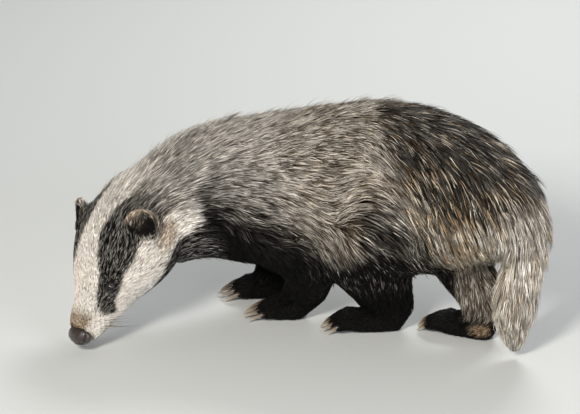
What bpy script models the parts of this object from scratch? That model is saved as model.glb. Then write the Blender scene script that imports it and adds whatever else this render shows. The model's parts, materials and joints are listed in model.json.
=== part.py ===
"""A European badger (Meles meles), life size, standing with its nose to the ground.

The animal faces -X with its left side towards -Y, and stands on the plane z = 0. All of its flesh is
modelled as tubes of oval sections that overlap. They are melted into one skin, which carries the locks of
the long coat, and that body is then parted into head, neck, torso, tail, legs and paws by thin gaps.
"""

import math
import random

import bmesh
import bpy
from mathutils import Matrix, Vector
from mathutils.bvhtree import BVHTree

MM = 0.001
GAP = 0.3 * MM

# Driving sizes of the animal, in metres.
FLOOR = 0.0
VOXEL = 3.0 * MM
SKIN_TRIANGLES = 2000
FINE_TRIANGLES = 4100
SHARE_VOXEL = 6.0 * MM
SHARE_TRIANGLES = 300
SMOOTHING_ROUNDS = 6

# The head hangs from the neck, turned to the animal's left. Its own axes run back, right and up from
# the tip of the nose.
NOSE_TIP = Vector((-226, -102, 15)) * MM
HEAD_TURN = math.radians(48)
HEAD_DROP = math.radians(-50)
HEAD_TILT = math.radians(-18)
HEAD = (
    Matrix.Translation(NOSE_TIP)
    @ Matrix.Rotation(HEAD_TURN, 4, "Z")
    @ Matrix.Rotation(HEAD_DROP, 4, "Y")
    @ Matrix.Rotation(HEAD_TILT, 4, "X")
)
HEAD_UP = HEAD.to_3x3() @ Vector((0, 0, 1))
UP = Vector((0, 0, 1))

# Sections of the head, in millimetres: distance behind the nose tip, top line, under line, half width.
HEAD_SECTIONS = (
    (5, 11, -12, 14),
    (13, 16, -17, 20),
    (26, 21, -22, 24),
    (42, 25, -28, 28),
    (56, 31, -34, 33),
    (70, 39, -39, 43),
    (86, 46, -45, 55),
    (102, 51, -50, 63),
    (118, 53, -53, 67),
    (134, 52, -53, 65),
    (150, 49, -50, 60),
    (166, 43, -45, 53),
    (182, 34, -36, 42),
)
HEAD_CUT = 148 * MM
MOUTH_FRONT = ((0, -12), (35, -12), (70, -13))
MOUTH_SIDE = ((24, -14.5), (33, -17), (42, -19.5), (51, -20.5), (58, -18.5))
MOUTH_CENTRE = 22
LIP = 1.5 * MM
LIP_SINK = 0.6 * MM
LIP_SPREAD = 1.8
MOUTH_GROOVE = 0.9 * MM
NOSE_SECTIONS = ((-4, 7, -6, 8), (-1, 10, -9, 13), (4, 12, -10.5, 15.5), (9, 12.5, -10.5, 15.5), (15, 10, -8, 12))
NOSTRIL = ((-12, 5.5, 0, 2.4), (-3, 6.5, 0.5, 2.4), (3, 9.5, 2, 2.0), (8, 10.0, 2, 1.4))
NOSE_GROOVE = ((-14, 3), (-9, -1.5), (-4, -5), (1, -6.5))
EYE_SOCKET = (61, 13.5)
EYE_RADIUS = 6.2 * MM
EYE_SINK = 3.8 * MM
LID_WIDTH = 5.7 * MM
LID_HEIGHT = 4.5 * MM
LID_THICKNESS = 1.8 * MM

# Ears: where each one grows, the way its tip leans and its wide side runs (back, outwards, up), and its
# sections as distance from the root, half width and half thickness in millimetres.
EARS = {
    "ear_left": (-1, (122, 16), 0.1, Vector((0.85, 0.14, 0.50)), Vector((0.35, 0.62, -0.70))),
    "ear_right": (1, (121, 16), 0.22, Vector((0.82, 0.12, 0.56)), Vector((-0.05, 0.93, -0.35))),
}
EAR_SECTIONS = ((-8, 11, 6), (0, 15, 5.5), (8, 18, 4.8), (16, 18, 4.2), (22, 14.5, 3.2), (25.5, 8.5, 2.2))
EAR_CUP_PLACE = (13 * MM, 4.4 * MM)
EAR_CUP_SIZE = Vector((13.6, 11.6, 5.6)) * MM

# Sections of the trunk from the tail head to the neck, in millimetres: centre, half width, half height.
TRUNK_SECTIONS = (
    ((258, -107, 142), 22, 20),
    ((246, -99, 149), 46, 38),
    ((226, -88, 156), 66, 51),
    ((186, -63, 161), 87, 75),
    ((145, -38, 160), 98, 90),
    ((102, -18, 160), 102, 94),
    ((54, -2, 154), 101, 91),
    ((11, 10, 149), 97, 87),
    ((-38, 14, 145), 90, 83),
    ((-85, 4, 147), 77, 75),
    ((-124, -18, 138), 64, 66),
    ((-150, -31, 124), 56, 58),
)

# Legs, in millimetres: joint centres from the body down to the ankle, with half width and half depth.
LEGS = {
    "front_leg_left": (
        ((-34, -36, 146), 40, 48),
        ((-12, -56, 118), 36, 43),
        ((14, -50, 88), 29, 36),
        ((22, -28, 60), 23, 29),
        ((16, -6, 36), 20, 25),
        ((8, 1, 20), 19, 20),
    ),
    "front_leg_right": (
        ((-40, 58, 146), 40, 48),
        ((-22, 78, 118), 36, 43),
        ((-6, 78, 88), 29, 36),
        ((-5, 72, 60), 23, 29),
        ((-14, 68, 36), 20, 25),
        ((-21, 67, 20), 19, 20),
    ),
    "hind_leg_left": (
        ((150, -74, 162), 46, 62),
        ((104, -84, 154), 46, 62),
        ((74, -76, 126), 41, 54),
        ((80, -60, 92), 34, 49),
        ((96, -43, 60), 27, 38),
        ((108, -35, 34), 21, 28),
        ((106, -32, 20), 20, 24),
    ),
    "hind_leg_right": (
        ((204, -34, 158), 42, 56),
        ((184, -26, 128), 40, 50),
        ((179, -32, 100), 34, 43),
        ((192, -46, 72), 27, 34),
        ((207, -58, 46), 21, 25),
        ((206, -54, 26), 19, 21),
    ),
}

# Paws: heel, direction of the toes in degrees from -X towards +Y, and the sizes of the foot.
FRONT_PAW = {"length": 41 * MM, "width": 44 * MM, "height": 31 * MM, "claw": 18 * MM}
HIND_PAW = {"length": 60 * MM, "width": 40 * MM, "height": 31 * MM, "claw": 12 * MM}
PAWS = {
    "front_paw_left": (Vector((17, 2, 0)) * MM, 6, FRONT_PAW),
    "front_paw_right": (Vector((-12, 68, 0)) * MM, 0, FRONT_PAW),
    "hind_paw_left": (Vector((120, -32, 0)) * MM, 0, HIND_PAW),
    "hind_paw_right": (Vector((217, -62, 0)) * MM, 30, HIND_PAW),
}
PAW_TOP = 28 * MM
TOE_SIZE = 6.4 * MM

TAIL_SECTIONS = (
    ((238, -96, 160), 26, 26),
    ((250, -104, 134), 28, 28),
    ((247, -109, 108), 26, 26),
    ((241, -111, 80), 24, 24),
    ((237, -112, 54), 21, 21),
    ((238, -113, 32), 16, 16),
    ((241, -114, 14), 8, 8),
)

# The long coat. The flesh is lowered by COAT_DEPTH, and flat tapered locks fill the coat out again.
COAT_DEPTH = 8 * MM
COAT_STARTS = 50 * MM
COAT_FULL = 120 * MM
LOCK_SEED = 11
LOCK_TRIES = 6000
LOCK_SPACING = 32.5 * MM
LOCK_LENGTH = 66 * MM
LOCK_WIDTH = 27 * MM
LOCK_THICKNESS = 4.4 * MM
LOCK_PATH = ((0.0, -6.0, 0.75), (0.46, 1.6, 1.0), (1.0, 7.6, 0.0))

# Where the nodes are parted: fat tubes or boxes that stand for each part's own share of the body.
LEG_SHARES = {
    "front_leg_left": (
        ((-30, -130, 134), 62, 56),
        ((-14, -118, 108), 62, 52),
        ((12, -88, 82), 60, 44),
        ((20, -40, 58), 46, 40),
        ((6, -2, 30), 36, 50),
        ((-6, 0, 6), 34, 60),
    ),
    "front_leg_right": (
        ((-36, 150, 134), 62, 56),
        ((-24, 138, 108), 62, 52),
        ((-8, 112, 82), 60, 46),
        ((-10, 86, 58), 42, 42),
        ((-22, 76, 30), 38, 52),
        ((-44, 76, 6), 38, 60),
    ),
    "hind_leg_left": (
        ((112, -168, 162), 66, 62),
        ((98, -156, 132), 70, 66),
        ((84, -112, 96), 68, 58),
        ((94, -62, 60), 50, 50),
        ((96, -36, 30), 38, 62),
        ((92, -33, 6), 36, 80),
    ),
    "hind_leg_right": (
        ((204, 42, 150), 50, 60),
        ((186, 26, 122), 56, 56),
        ((182, -12, 92), 54, 52),
        ((198, -46, 62), 44, 44),
        ((202, -48, 30), 46, 56),
        ((198, -46, 6), 50, 76),
    ),
}
TAIL_SHARE_FAT = 14 * MM
NECK_CUT = Vector((-96, -1, 145)) * MM
NECK_DIRECTION = Vector((0.9, 0.42, -0.02))


def clear_scene():
    for old in list(bpy.data.objects):
        bpy.data.objects.remove(old)


def material(name, colour, roughness):
    made = bpy.data.materials.new(name)
    made.use_nodes = True
    shader = made.node_tree.nodes["Principled BSDF"]
    shader.inputs["Base Color"].default_value = (*colour, 1)
    shader.inputs["Roughness"].default_value = roughness
    return made


def mesh_object(name, shape):
    """An object made from a bmesh, with its faces pointing out."""
    bmesh.ops.recalc_face_normals(shape, faces=shape.faces)
    mesh = bpy.data.meshes.new(name)
    shape.to_mesh(mesh)
    shape.free()
    made = bpy.data.objects.new(name, mesh)
    bpy.context.scene.collection.objects.link(made)
    return made


def applied(made):
    """Bakes the object's modifiers into its mesh."""
    graph = bpy.context.evaluated_depsgraph_get()
    mesh = bpy.data.meshes.new_from_object(made.evaluated_get(graph))
    made.modifiers.clear()
    made.data = mesh
    return made


def modified(made, kind, **settings):
    change = made.modifiers.new(kind.lower(), kind)
    for key, value in settings.items():
        setattr(change, key, value)
    return applied(made)


def boolean(made, other, operation, solver="EXACT", keep=False):
    modified(made, "BOOLEAN", operation=operation, object=other, solver=solver)
    if not keep:
        bpy.data.objects.remove(other)
    return made


def duplicate(made, name):
    copy = bpy.data.objects.new(name, made.data.copy())
    bpy.context.scene.collection.objects.link(copy)
    return copy


def curve_value(values, t):
    """A smooth curve through the values at 0, 1, 2 and so on (Catmull-Rom)."""
    last = len(values) - 1
    i = min(int(t), last - 1)
    f = t - i
    a, b = values[max(i - 1, 0)], values[i]
    c, d = values[i + 1], values[min(i + 2, last)]
    return (
        b
        + (c - a) * (0.5 * f)
        + (a * 2 - b * 5 + c * 4 - d) * (0.5 * f * f)
        + (b * 3 - a - c * 3 + d) * (0.5 * f * f * f)
    )


def tube(name, sections, sides=20, steps=3, grow=0.0):
    """A closed tube through oval sections. Each is centre, half width, half height up, half height down
    and the direction that counts as up there."""
    count = (len(sections) - 1) * steps
    places = [i / steps for i in range(count + 1)]
    centres = [curve_value([s[0] for s in sections], t) for t in places]
    sizes = [curve_value([Vector(s[1:4]) for s in sections], t) for t in places]
    ups = [curve_value([s[4] for s in sections], t) for t in places]
    shape = bmesh.new()
    rings = []
    for i, (centre, size, up) in enumerate(zip(centres, sizes, ups)):
        along = (centres[min(i + 1, count)] - centres[max(i - 1, 0)]).normalized()
        side = along.cross(up).normalized()
        rise = side.cross(along).normalized()
        ring = []
        for k in range(sides):
            angle = 2 * math.pi * k / sides
            height = size[1] if math.sin(angle) > 0 else size[2]
            point = (
                centre
                + side * (math.cos(angle) * (size[0] + grow))
                + rise * (math.sin(angle) * (height + grow))
            )
            ring.append(shape.verts.new(point))
        rings.append(ring)
    for low, high in zip(rings, rings[1:]):
        for k in range(sides):
            shape.faces.new((low[k], low[(k + 1) % sides], high[(k + 1) % sides], high[k]))
    for ring, inner, size in ((rings[0], centres[1], sizes[0]), (rings[-1], centres[-2], sizes[-1])):
        middle = sum((v.co for v in ring), Vector()) / sides
        bulge = (middle - inner).normalized() * (min(size) * 0.45 + grow)
        pole = shape.verts.new(middle + bulge)
        for k in range(sides):
            shape.faces.new((ring[k], ring[(k + 1) % sides], pole))
    return mesh_object(name, shape)


def oval(centre, width, height, up=UP, less=0.0):
    """A section with the same height above and below its centre, from sizes in millimetres."""
    return (Vector(centre) * MM, width * MM - less, height * MM - less, height * MM - less, up)


def under_coat(section, up=UP):
    """A section lowered by the depth that the coat has at its height above the floor."""
    share = (section[0][2] * MM - COAT_STARTS) / (COAT_FULL - COAT_STARTS)
    return oval(*section, up=up, less=COAT_DEPTH * min(max(share, 0.0), 1.0))


def trunk_section(section):
    """A section of the trunk, which has a long coat on its back and sides and a short one below."""
    centre, width, high, low, up = under_coat(section)
    return (centre, width, high, low + COAT_DEPTH, up)


def head_section(back, top, under, width):
    middle = (top + under) / 2
    half = (top - under) / 2
    return (HEAD @ (Vector((back, 0, middle)) * MM), width * MM, half * MM, half * MM, HEAD_UP)


def paw_frame(name):
    heel, heading, sizes = PAWS[name]
    turn = Matrix.Rotation(-math.radians(heading), 4, "Z")
    return Matrix.Translation(heel) @ turn @ Matrix.Rotation(math.pi, 4, "Z"), sizes


def toe_paths(name):
    """For each of the five toes: root, knuckle and tip in the world."""
    frame, sizes = paw_frame(name)
    length, width = sizes["length"], sizes["width"]
    toes = []
    for i in range(5):
        spread = (i - 2) / 2
        reach = length * 1.28 - 8 * MM * abs(spread) ** 1.6
        across = width * 0.43 * spread
        root = frame @ Vector((length * 0.6, across * 0.8, 15 * MM))
        knuckle = frame @ Vector((reach - 11 * MM, across * 1.05, 13.5 * MM))
        tip = frame @ Vector((reach, across * 1.12, 8 * MM))
        toes.append((root, knuckle, tip))
    return toes


def toes(name):
    """Five plump toes, laid over the front of the foot once its flesh has been melted together."""
    made = []
    for root, knuckle, tip in toe_paths(name):
        rows = [(p, k * TOE_SIZE, k * TOE_SIZE, k * TOE_SIZE, UP) for p, k in ((root, 0.7), (knuckle, 1.0), (tip, 0.72))]
        made.append(tube(name + "_toe", rows, sides=8, steps=1))
    return made


def paw_flesh(name):
    """The sole and the back of the foot as a low pad."""
    frame, sizes = paw_frame(name)
    length, width, height = sizes["length"], sizes["width"], sizes["height"]
    rows = ((-0.02, 0.32, 0.38), (0.22, 0.43, 0.50), (0.55, 0.48, 0.47), (0.85, 0.50, 0.38), (1.02, 0.46, 0.30))
    sections = []
    for along, wide, high in rows:
        centre = frame @ Vector((along * length, 0, high * height * 0.8))
        sections.append((centre, wide * width, high * height, high * height, UP))
    return [tube(name + "_pad", sections, sides=20)]


def claws(name):
    """Five digging claws, each a curved horn that comes out of a toe and ends just off the floor."""
    sizes = PAWS[name][2]
    made = []
    for root, knuckle, tip in toe_paths(name):
        ahead = ((tip - knuckle) * Vector((1, 1, 0))).normalized()
        path = []
        for k in range(4):
            share = k / 3
            centre = tip + ahead * (sizes["claw"] * share - 2 * MM)
            centre.z = 10 * MM - 8 * MM * share**1.8
            thick = (3.2 - 2.6 * share**1.6) * MM
            path.append((centre, thick * 0.75, thick, thick, UP))
        made.append(tube(name + "_claw", path, sides=6, steps=1))
    return made


def melted_body():
    """All the flesh as one closed skin: the tubes are merged by a voxel remesh and smoothed."""
    pieces = [
        tube("trunk", [trunk_section(s) for s in TRUNK_SECTIONS], sides=32),
        tube("skull", [head_section(*s) for s in HEAD_SECTIONS], sides=32),
        tube("tail_core", [under_coat(s, up=Vector((-1, 0, 0))) for s in TAIL_SECTIONS], sides=20),
    ]
    for sections in LEGS.values():
        pieces.append(tube("leg", [under_coat(s, up=Vector((-1, 0, 0))) for s in sections], sides=20))
    for name in PAWS:
        pieces += paw_flesh(name)
    shape = bmesh.new()
    for piece in pieces:
        shape.from_mesh(piece.data)
        bpy.data.objects.remove(piece)
    body = mesh_object("body", shape)
    modified(body, "REMESH", mode="VOXEL", voxel_size=VOXEL, adaptivity=0)
    modified(body, "SMOOTH", factor=0.5, iterations=SMOOTHING_ROUNDS)
    return modified(body, "TRIANGULATE")


def thinned(body, name, triangles):
    """A copy of the body with about this many triangles."""
    copy = duplicate(body, name)
    return modified(copy, "DECIMATE", ratio=triangles / len(copy.data.polygons))


def box(name, frame, low, high):
    """A box between two corners given in a frame."""
    shape = bmesh.new()
    bmesh.ops.create_cube(shape, size=1)
    for v in shape.verts:
        local = Vector([low[k] if v.co[k] < 0 else high[k] for k in range(3)])
        v.co = frame @ local
    return mesh_object(name, shape)


def largest_part(made):
    """Drops everything but the object's largest closed surface."""
    shape = bmesh.new()
    shape.from_mesh(made.data)
    shape.verts.ensure_lookup_table()
    seen, groups = set(), []
    for start in shape.verts:
        if start in seen:
            continue
        group, todo = [], [start]
        seen.add(start)
        while todo:
            v = todo.pop()
            group.append(v)
            for edge in v.link_edges:
                other = edge.other_vert(v)
                if other not in seen:
                    seen.add(other)
                    todo.append(other)
        groups.append(group)
    groups.sort(key=len)
    scraps = [v for group in groups[:-1] for v in group]
    bmesh.ops.delete(shape, geom=scraps, context="VERTS")
    shape.to_mesh(made.data)
    shape.free()
    return made


def coat_lie(place, normal):
    """The direction in which the hair lies: back along the trunk, falling down the flanks and the rump."""
    near = min(range(1, len(TRUNK_SECTIONS)), key=lambda k: (Vector(TRUNK_SECTIONS[k][0]) * MM - place).length)
    along = (Vector(TRUNK_SECTIONS[near - 1][0]) - Vector(TRUNK_SECTIONS[near][0])).normalized()
    rump = min(max((place.x - 0.14) / 0.1, 0.0), 1.0)
    tail = 1.0 if place.z < 0.125 and place.x > 0.2 else 0.0
    fall = 0.35 + 1.1 * rump
    lie = along * (1 - tail) + Vector((0, 0, -1)) * (fall + tail)
    return (lie - normal * lie.dot(normal)).normalized()


def has_long_coat(place):
    """Whether the long coat grows here: not on the head, the lower legs or the belly."""
    if (HEAD.inverted() @ place).x < HEAD_CUT + 12 * MM:
        return False
    if place.x > 0.2 and abs(place.y + 0.108) < 0.05:
        return place.z > 0.03
    return place.z > 0.1


def lock(tree, root, normal, lie, size):
    """One flat lock: its root is sunk into the flesh and its tip rises to the outside of the coat. There
    is none where the flesh turns a corner under it."""
    shape = bmesh.new()
    rings = []
    at, out = root, normal
    walked = 0.0
    for share, height, width in LOCK_PATH:
        step = (share - walked) * LOCK_LENGTH * size
        walked = share
        at, out, _, _ = tree.find_nearest(at + lie * step)
        if out.dot(normal) < 0.2:
            shape.free()
            return None
        lie = (lie - out * lie.dot(out)).normalized()
        side = out.cross(lie)
        centre = at + out * (height * MM * min(size, 1.0))
        half = width * LOCK_WIDTH * size / 2
        thick = LOCK_THICKNESS / 2 * (0.5 + 0.5 * width)
        if width:
            corners = (side * half, out * thick, side * -half, out * -thick)
            rings.append([shape.verts.new(centre + c) for c in corners])
        else:
            rings.append([shape.verts.new(centre)])
    for low, high in zip(rings, rings[1:-1]):
        for k in range(4):
            shape.faces.new((low[k], low[(k + 1) % 4], high[(k + 1) % 4], high[k]))
    for k in range(4):
        shape.faces.new((rings[-2][k], rings[-2][(k + 1) % 4], rings[-1][0]))
    shape.faces.new(rings[0])
    bmesh.ops.triangulate(shape, faces=shape.faces)
    return mesh_object("lock", shape)


def lay_coat(body):
    """Spreads locks evenly over the long coat and fuses them with the flesh in one union."""
    rng = random.Random(LOCK_SEED)
    tree = BVHTree.FromObject(body, bpy.context.evaluated_depsgraph_get())
    faces = [f for f in body.data.polygons if has_long_coat(f.center)]
    corners = [[body.data.vertices[i].co.copy() for i in f.vertices] for f in faces]
    normals = [f.normal.copy() for f in faces]
    areas = [f.area for f in faces]
    roots = []
    locks = bpy.data.collections.new("locks")
    for k in rng.choices(range(len(faces)), weights=areas, k=LOCK_TRIES):
        a, b, c = corners[k]
        u, v = sorted((rng.random(), rng.random()))
        place = a * u + b * (v - u) + c * (1 - v)
        if any((place - other).length < LOCK_SPACING for other in roots):
            continue
        roots.append(place)
        size = rng.uniform(0.85, 1.1) * (0.6 if place.z < 0.13 and place.x > 0.2 else 1.0)
        made = lock(tree, place, normals[k], coat_lie(place, normals[k]), size)
        if made:
            locks.objects.link(made)
    modified(body, "BOOLEAN", operation="UNION", operand_type="COLLECTION", collection=locks, solver="MANIFOLD")
    for made in list(locks.objects):
        bpy.data.objects.remove(made)
    bpy.data.collections.remove(locks)


def part_off(body, name, shares, fine=None):
    """Takes what lies in a share off the body as a node of its own. What stays is cut by the same share
    made wider, which leaves the gap. The node is cut from the finer copy of the body where there is one."""
    share, wider = shares
    piece = duplicate(fine or body, name)
    boolean(piece, share, "INTERSECT")
    boolean(body, wider, "DIFFERENCE")
    return largest_part(piece)


def head_shares():
    low = Vector((-40, -120, -120)) * MM
    high = Vector((HEAD_CUT, 120 * MM, 120 * MM))
    return box("share", HEAD, low, high), box("wider", HEAD, low, high + Vector((GAP, 0, 0)))


def neck_shares():
    along = NECK_DIRECTION.normalized()
    side = UP.cross(along).normalized()
    frame = Matrix((along, side, along.cross(side))).transposed().to_4x4()
    frame.translation = NECK_CUT
    low = Vector((-200, -120, -100)) * MM
    high = Vector((0, 120, 130)) * MM
    return box("share", frame, low, high), box("wider", frame, low, high + Vector((GAP, 0, 0)))


def paw_shares():
    low = Vector((-0.5, -0.5, -0.1))
    high = Vector((0.5, 0.5, PAW_TOP))
    level = Matrix.Identity(4)
    return box("share", level, low, high), box("wider", level, low, high + Vector((0, 0, GAP)))


def rounded_shares(rows, fat=0.0):
    """A share in the form of a plump closed tube, as it is and swollen by the gap."""
    sections = [oval(*s, up=Vector((-1, 0, 0))) for s in rows]
    share = tube("share", sections, sides=24, grow=fat)
    modified(share, "REMESH", mode="VOXEL", voxel_size=SHARE_VOXEL, adaptivity=0)
    modified(share, "SMOOTH", factor=0.5, iterations=SMOOTHING_ROUNDS)
    modified(share, "TRIANGULATE")
    modified(share, "DECIMATE", ratio=SHARE_TRIANGLES / len(share.data.polygons))
    wider = duplicate(share, "wider")
    normals = [v.normal.copy() for v in wider.data.vertices]
    for v, normal in zip(wider.data.vertices, normals):
        v.co += normal * GAP * 1.4
    return share, wider


def sphere(name, centre, radius):
    shape = bmesh.new()
    bmesh.ops.create_uvsphere(shape, u_segments=14, v_segments=8, radius=radius)
    bmesh.ops.translate(shape, verts=shape.verts, vec=centre)
    return mesh_object(name, shape)


def surface_finder(made):
    """A function that shoots a ray out from the head's axis and gives the skin's point and normal there.
    It takes millimetres behind the nose tip, height above the axis, and a direction in the head's frame."""
    tree = BVHTree.FromObject(made, bpy.context.evaluated_depsgraph_get())
    turn = HEAD.to_3x3()

    def find(back, height, direction):
        start = HEAD @ (Vector((back, 0, height)) * MM)
        point, normal, _, _ = tree.ray_cast(start, (turn @ Vector(direction)).normalized())
        return point, normal

    return find


def mouth_path(find, lift):
    """Points along the mouth from one corner round the front to the other, raised by some millimetres."""
    half = []
    for degrees, height in MOUTH_FRONT:
        angle = math.radians(degrees)
        half.append((MOUTH_CENTRE, height, (-math.cos(angle), math.sin(angle), 0)))
    for back, height in MOUTH_SIDE:
        half.append((back, height, (0, 1, 0)))
    mirrored = [(b, h, (d[0], -d[1], 0)) for b, h, d in reversed(half[1:])]
    return [find(back, height + lift, direction) for back, height, direction in mirrored + half]


def cut_mouth(head, find):
    """Two lips with the line of the mouth between them."""
    for lift in (LIP_SPREAD, -LIP_SPREAD):
        path = [(p - n * LIP_SINK, LIP, LIP, LIP, HEAD_UP) for p, n in mouth_path(find, lift)]
        boolean(head, tube("lip", path, sides=6, steps=1), "UNION")
    path = [(p, MOUTH_GROOVE, MOUTH_GROOVE, MOUTH_GROOVE, HEAD_UP) for p, n in mouth_path(find, 0)]
    boolean(head, tube("mouth_groove", path, sides=6, steps=1), "DIFFERENCE")


def make_eye(head, find, side, name):
    """An eyeball in its socket, with a ring of lid round the opening."""
    back, height = EYE_SOCKET
    point, normal = find(back, height, (0, side, 0))
    centre = point - normal * EYE_SINK
    ahead = (HEAD.to_3x3() @ Vector((-1, 0, 0.1))).normalized()
    rise = ahead.cross(normal).normalized()
    ahead = normal.cross(rise).normalized()
    ring = []
    count = 14
    for k in range(count):
        angle = 2 * math.pi * k / count
        x = math.cos(angle) * LID_WIDTH
        y = math.sin(angle) * LID_HEIGHT
        out = math.sqrt(EYE_RADIUS**2 - x * x - y * y) if x * x + y * y < EYE_RADIUS**2 else 0.0
        ring.append((centre + ahead * x + rise * y + normal * out, (ahead * x + rise * y).normalized()))
    boolean(head, ring_tube("lids", ring, normal, LID_THICKNESS), "UNION")
    boolean(head, sphere("socket", centre, EYE_RADIUS + GAP), "DIFFERENCE")
    return sphere(name, centre, EYE_RADIUS)


def ring_tube(name, ring, normal, radius, sides=6):
    """A closed loop of tube through points that are given with their outward directions."""
    shape = bmesh.new()
    rows = []
    for point, outward in ring:
        row = []
        for k in range(sides):
            angle = 2 * math.pi * k / sides
            row.append(shape.verts.new(point + (outward * math.cos(angle) + normal * math.sin(angle)) * radius))
        rows.append(row)
    for i, low in enumerate(rows):
        high = rows[(i + 1) % len(rows)]
        for k in range(sides):
            shape.faces.new((low[k], low[(k + 1) % sides], high[(k + 1) % sides], high[k]))
    return mesh_object(name, shape)


def make_nose(head):
    """The bare pad of the nose, set into the head, with two nostrils and the groove between them."""
    rows = [head_section(*s) for s in NOSE_SECTIONS]
    boolean(head, tube("nose_seat", rows, sides=16, steps=2, grow=GAP), "DIFFERENCE")
    nose = tube("nose", rows, sides=16, steps=2)
    for side in (-1, 1):
        path = []
        for back, across, height, size in NOSTRIL:
            point = HEAD @ (Vector((back, across * side, height)) * MM)
            path.append((point, size * MM, size * MM, size * MM, HEAD_UP))
        boolean(nose, tube("nostril", path, sides=8, steps=1), "DIFFERENCE")
    path = []
    for height, back in NOSE_GROOVE:
        point = HEAD @ (Vector((back, 0, height)) * MM)
        path.append((point, 0.7 * MM, 0.9 * MM, 0.9 * MM, HEAD.to_3x3() @ Vector((-1, 0, 0))))
    return boolean(nose, tube("nose_groove", path, sides=6, steps=1), "DIFFERENCE")


def make_ear(head, find, name):
    """A thick rounded flap with a hollow that faces forwards and out, seated in the head."""
    side, (back, height), slope, lean, wide = EARS[name]
    root, _ = find(back, height, (0, side, slope))
    turn = HEAD.to_3x3()
    mirror = Vector((1, side, 1))
    lean = (turn @ (lean * mirror)).normalized()
    wide = turn @ (wide * mirror)
    face = lean.cross(wide).normalized()
    if face.dot(turn @ Vector((-1, 0, 1))) < 0:
        face = -face
    rows = [(root + lean * (h * MM), w * MM, t * MM, t * MM, face) for h, w, t in EAR_SECTIONS]
    boolean(head, tube("ear_seat", rows, sides=12, steps=2, grow=GAP), "DIFFERENCE")
    ear = tube(name, rows, sides=12, steps=2)
    wide = lean.cross(face)
    reach, depth = EAR_CUP_PLACE
    frame = Matrix((wide, lean, face)).transposed().to_4x4()
    frame.translation = root + lean * reach + face * depth
    cup = sphere("ear_cup", Vector(), 1.0)
    cup.data.transform(frame @ Matrix.Diagonal((*EAR_CUP_SIZE, 1)))
    return boolean(ear, cup, "DIFFERENCE")


def set_down(nodes):
    """Moves everything so that the middle of the whole thing's bottom is the origin."""
    points = [v.co for node in nodes for v in node.data.vertices]
    low = Vector([min(p[k] for p in points) for k in range(3)])
    high = Vector([max(p[k] for p in points) for k in range(3)])
    shift = Vector((-(low.x + high.x) / 2, -(low.y + high.y) / 2, -low.z))
    for node in nodes:
        node.data.transform(Matrix.Translation(shift))


def main():
    clear_scene()
    melted = melted_body()
    fine = thinned(melted, "fine", FINE_TRIANGLES)
    body = thinned(melted, "torso", SKIN_TRIANGLES)
    bpy.data.objects.remove(melted)
    for made in (fine, body):
        under = box("under_floor", Matrix.Identity(4), Vector((-0.5, -0.5, -0.2)), Vector((0.5, 0.5, FLOOR)))
        boolean(made, under, "DIFFERENCE")
        largest_part(made)
    lay_coat(body)
    head = part_off(body, "head", head_shares(), fine)
    find = surface_finder(head)
    eyes = [make_eye(head, find, -1, "eye_left"), make_eye(head, find, 1, "eye_right")]
    ears = [make_ear(head, find, name) for name in EARS]
    cut_mouth(head, find)
    nose = make_nose(head)
    largest_part(head)
    neck = part_off(body, "neck", neck_shares())
    tail = part_off(body, "tail", rounded_shares(TAIL_SECTIONS[1:], fat=TAIL_SHARE_FAT))
    legs, paws = [], []
    for name in LEGS:
        paw_name = name.replace("leg", "paw")
        share, wider = rounded_shares(LEG_SHARES[name])
        fine_leg = duplicate(fine, "fine_leg")
        boolean(fine_leg, share, "INTERSECT", keep=True)
        leg = part_off(body, name, (share, wider))
        paw = part_off(leg, paw_name, paw_shares(), fine_leg)
        bpy.data.objects.remove(fine_leg)
        for part in toes(paw_name) + claws(paw_name):
            boolean(paw, part, "UNION")
        legs.append(largest_part(leg))
        paws.append(largest_part(paw))
    bpy.data.objects.remove(fine)
    largest_part(body)
    looks = {
        "badger_grey_fur": ((0.30, 0.28, 0.25), 0.9, [body, neck]),
        "badger_black_fur": ((0.03, 0.028, 0.026), 0.9, legs + paws),
        "badger_white_fur": ((0.75, 0.70, 0.62), 0.9, [head, tail] + ears),
        "badger_nose_skin": ((0.05, 0.03, 0.025), 0.4, [nose]),
        "badger_eye": ((0.01, 0.008, 0.007), 0.1, eyes),
    }
    for name, (colour, roughness, nodes) in looks.items():
        look = material(name, colour, roughness)
        for node in nodes:
            node.data.materials.clear()
            node.data.materials.append(look)
    set_down([node for _, _, nodes in looks.values() for node in nodes])


main()
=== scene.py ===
# %% [markdown]
# # A European badger, life size
# The part is a still model: a badger walking low with its nose to the ground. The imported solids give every
# size and place. This notebook dresses them: one skin over the flesh, about a hundred thousand tufts of
# hair that follow the lie of the coat, and separate eyes, lids, nose, lips, claws and whiskers.

import json
import math

import bmesh
import bpy
import numpy as np
from mathutils import Matrix, Vector
from mathutils.bvhtree import BVHTree
from mathutils.kdtree import KDTree

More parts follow.
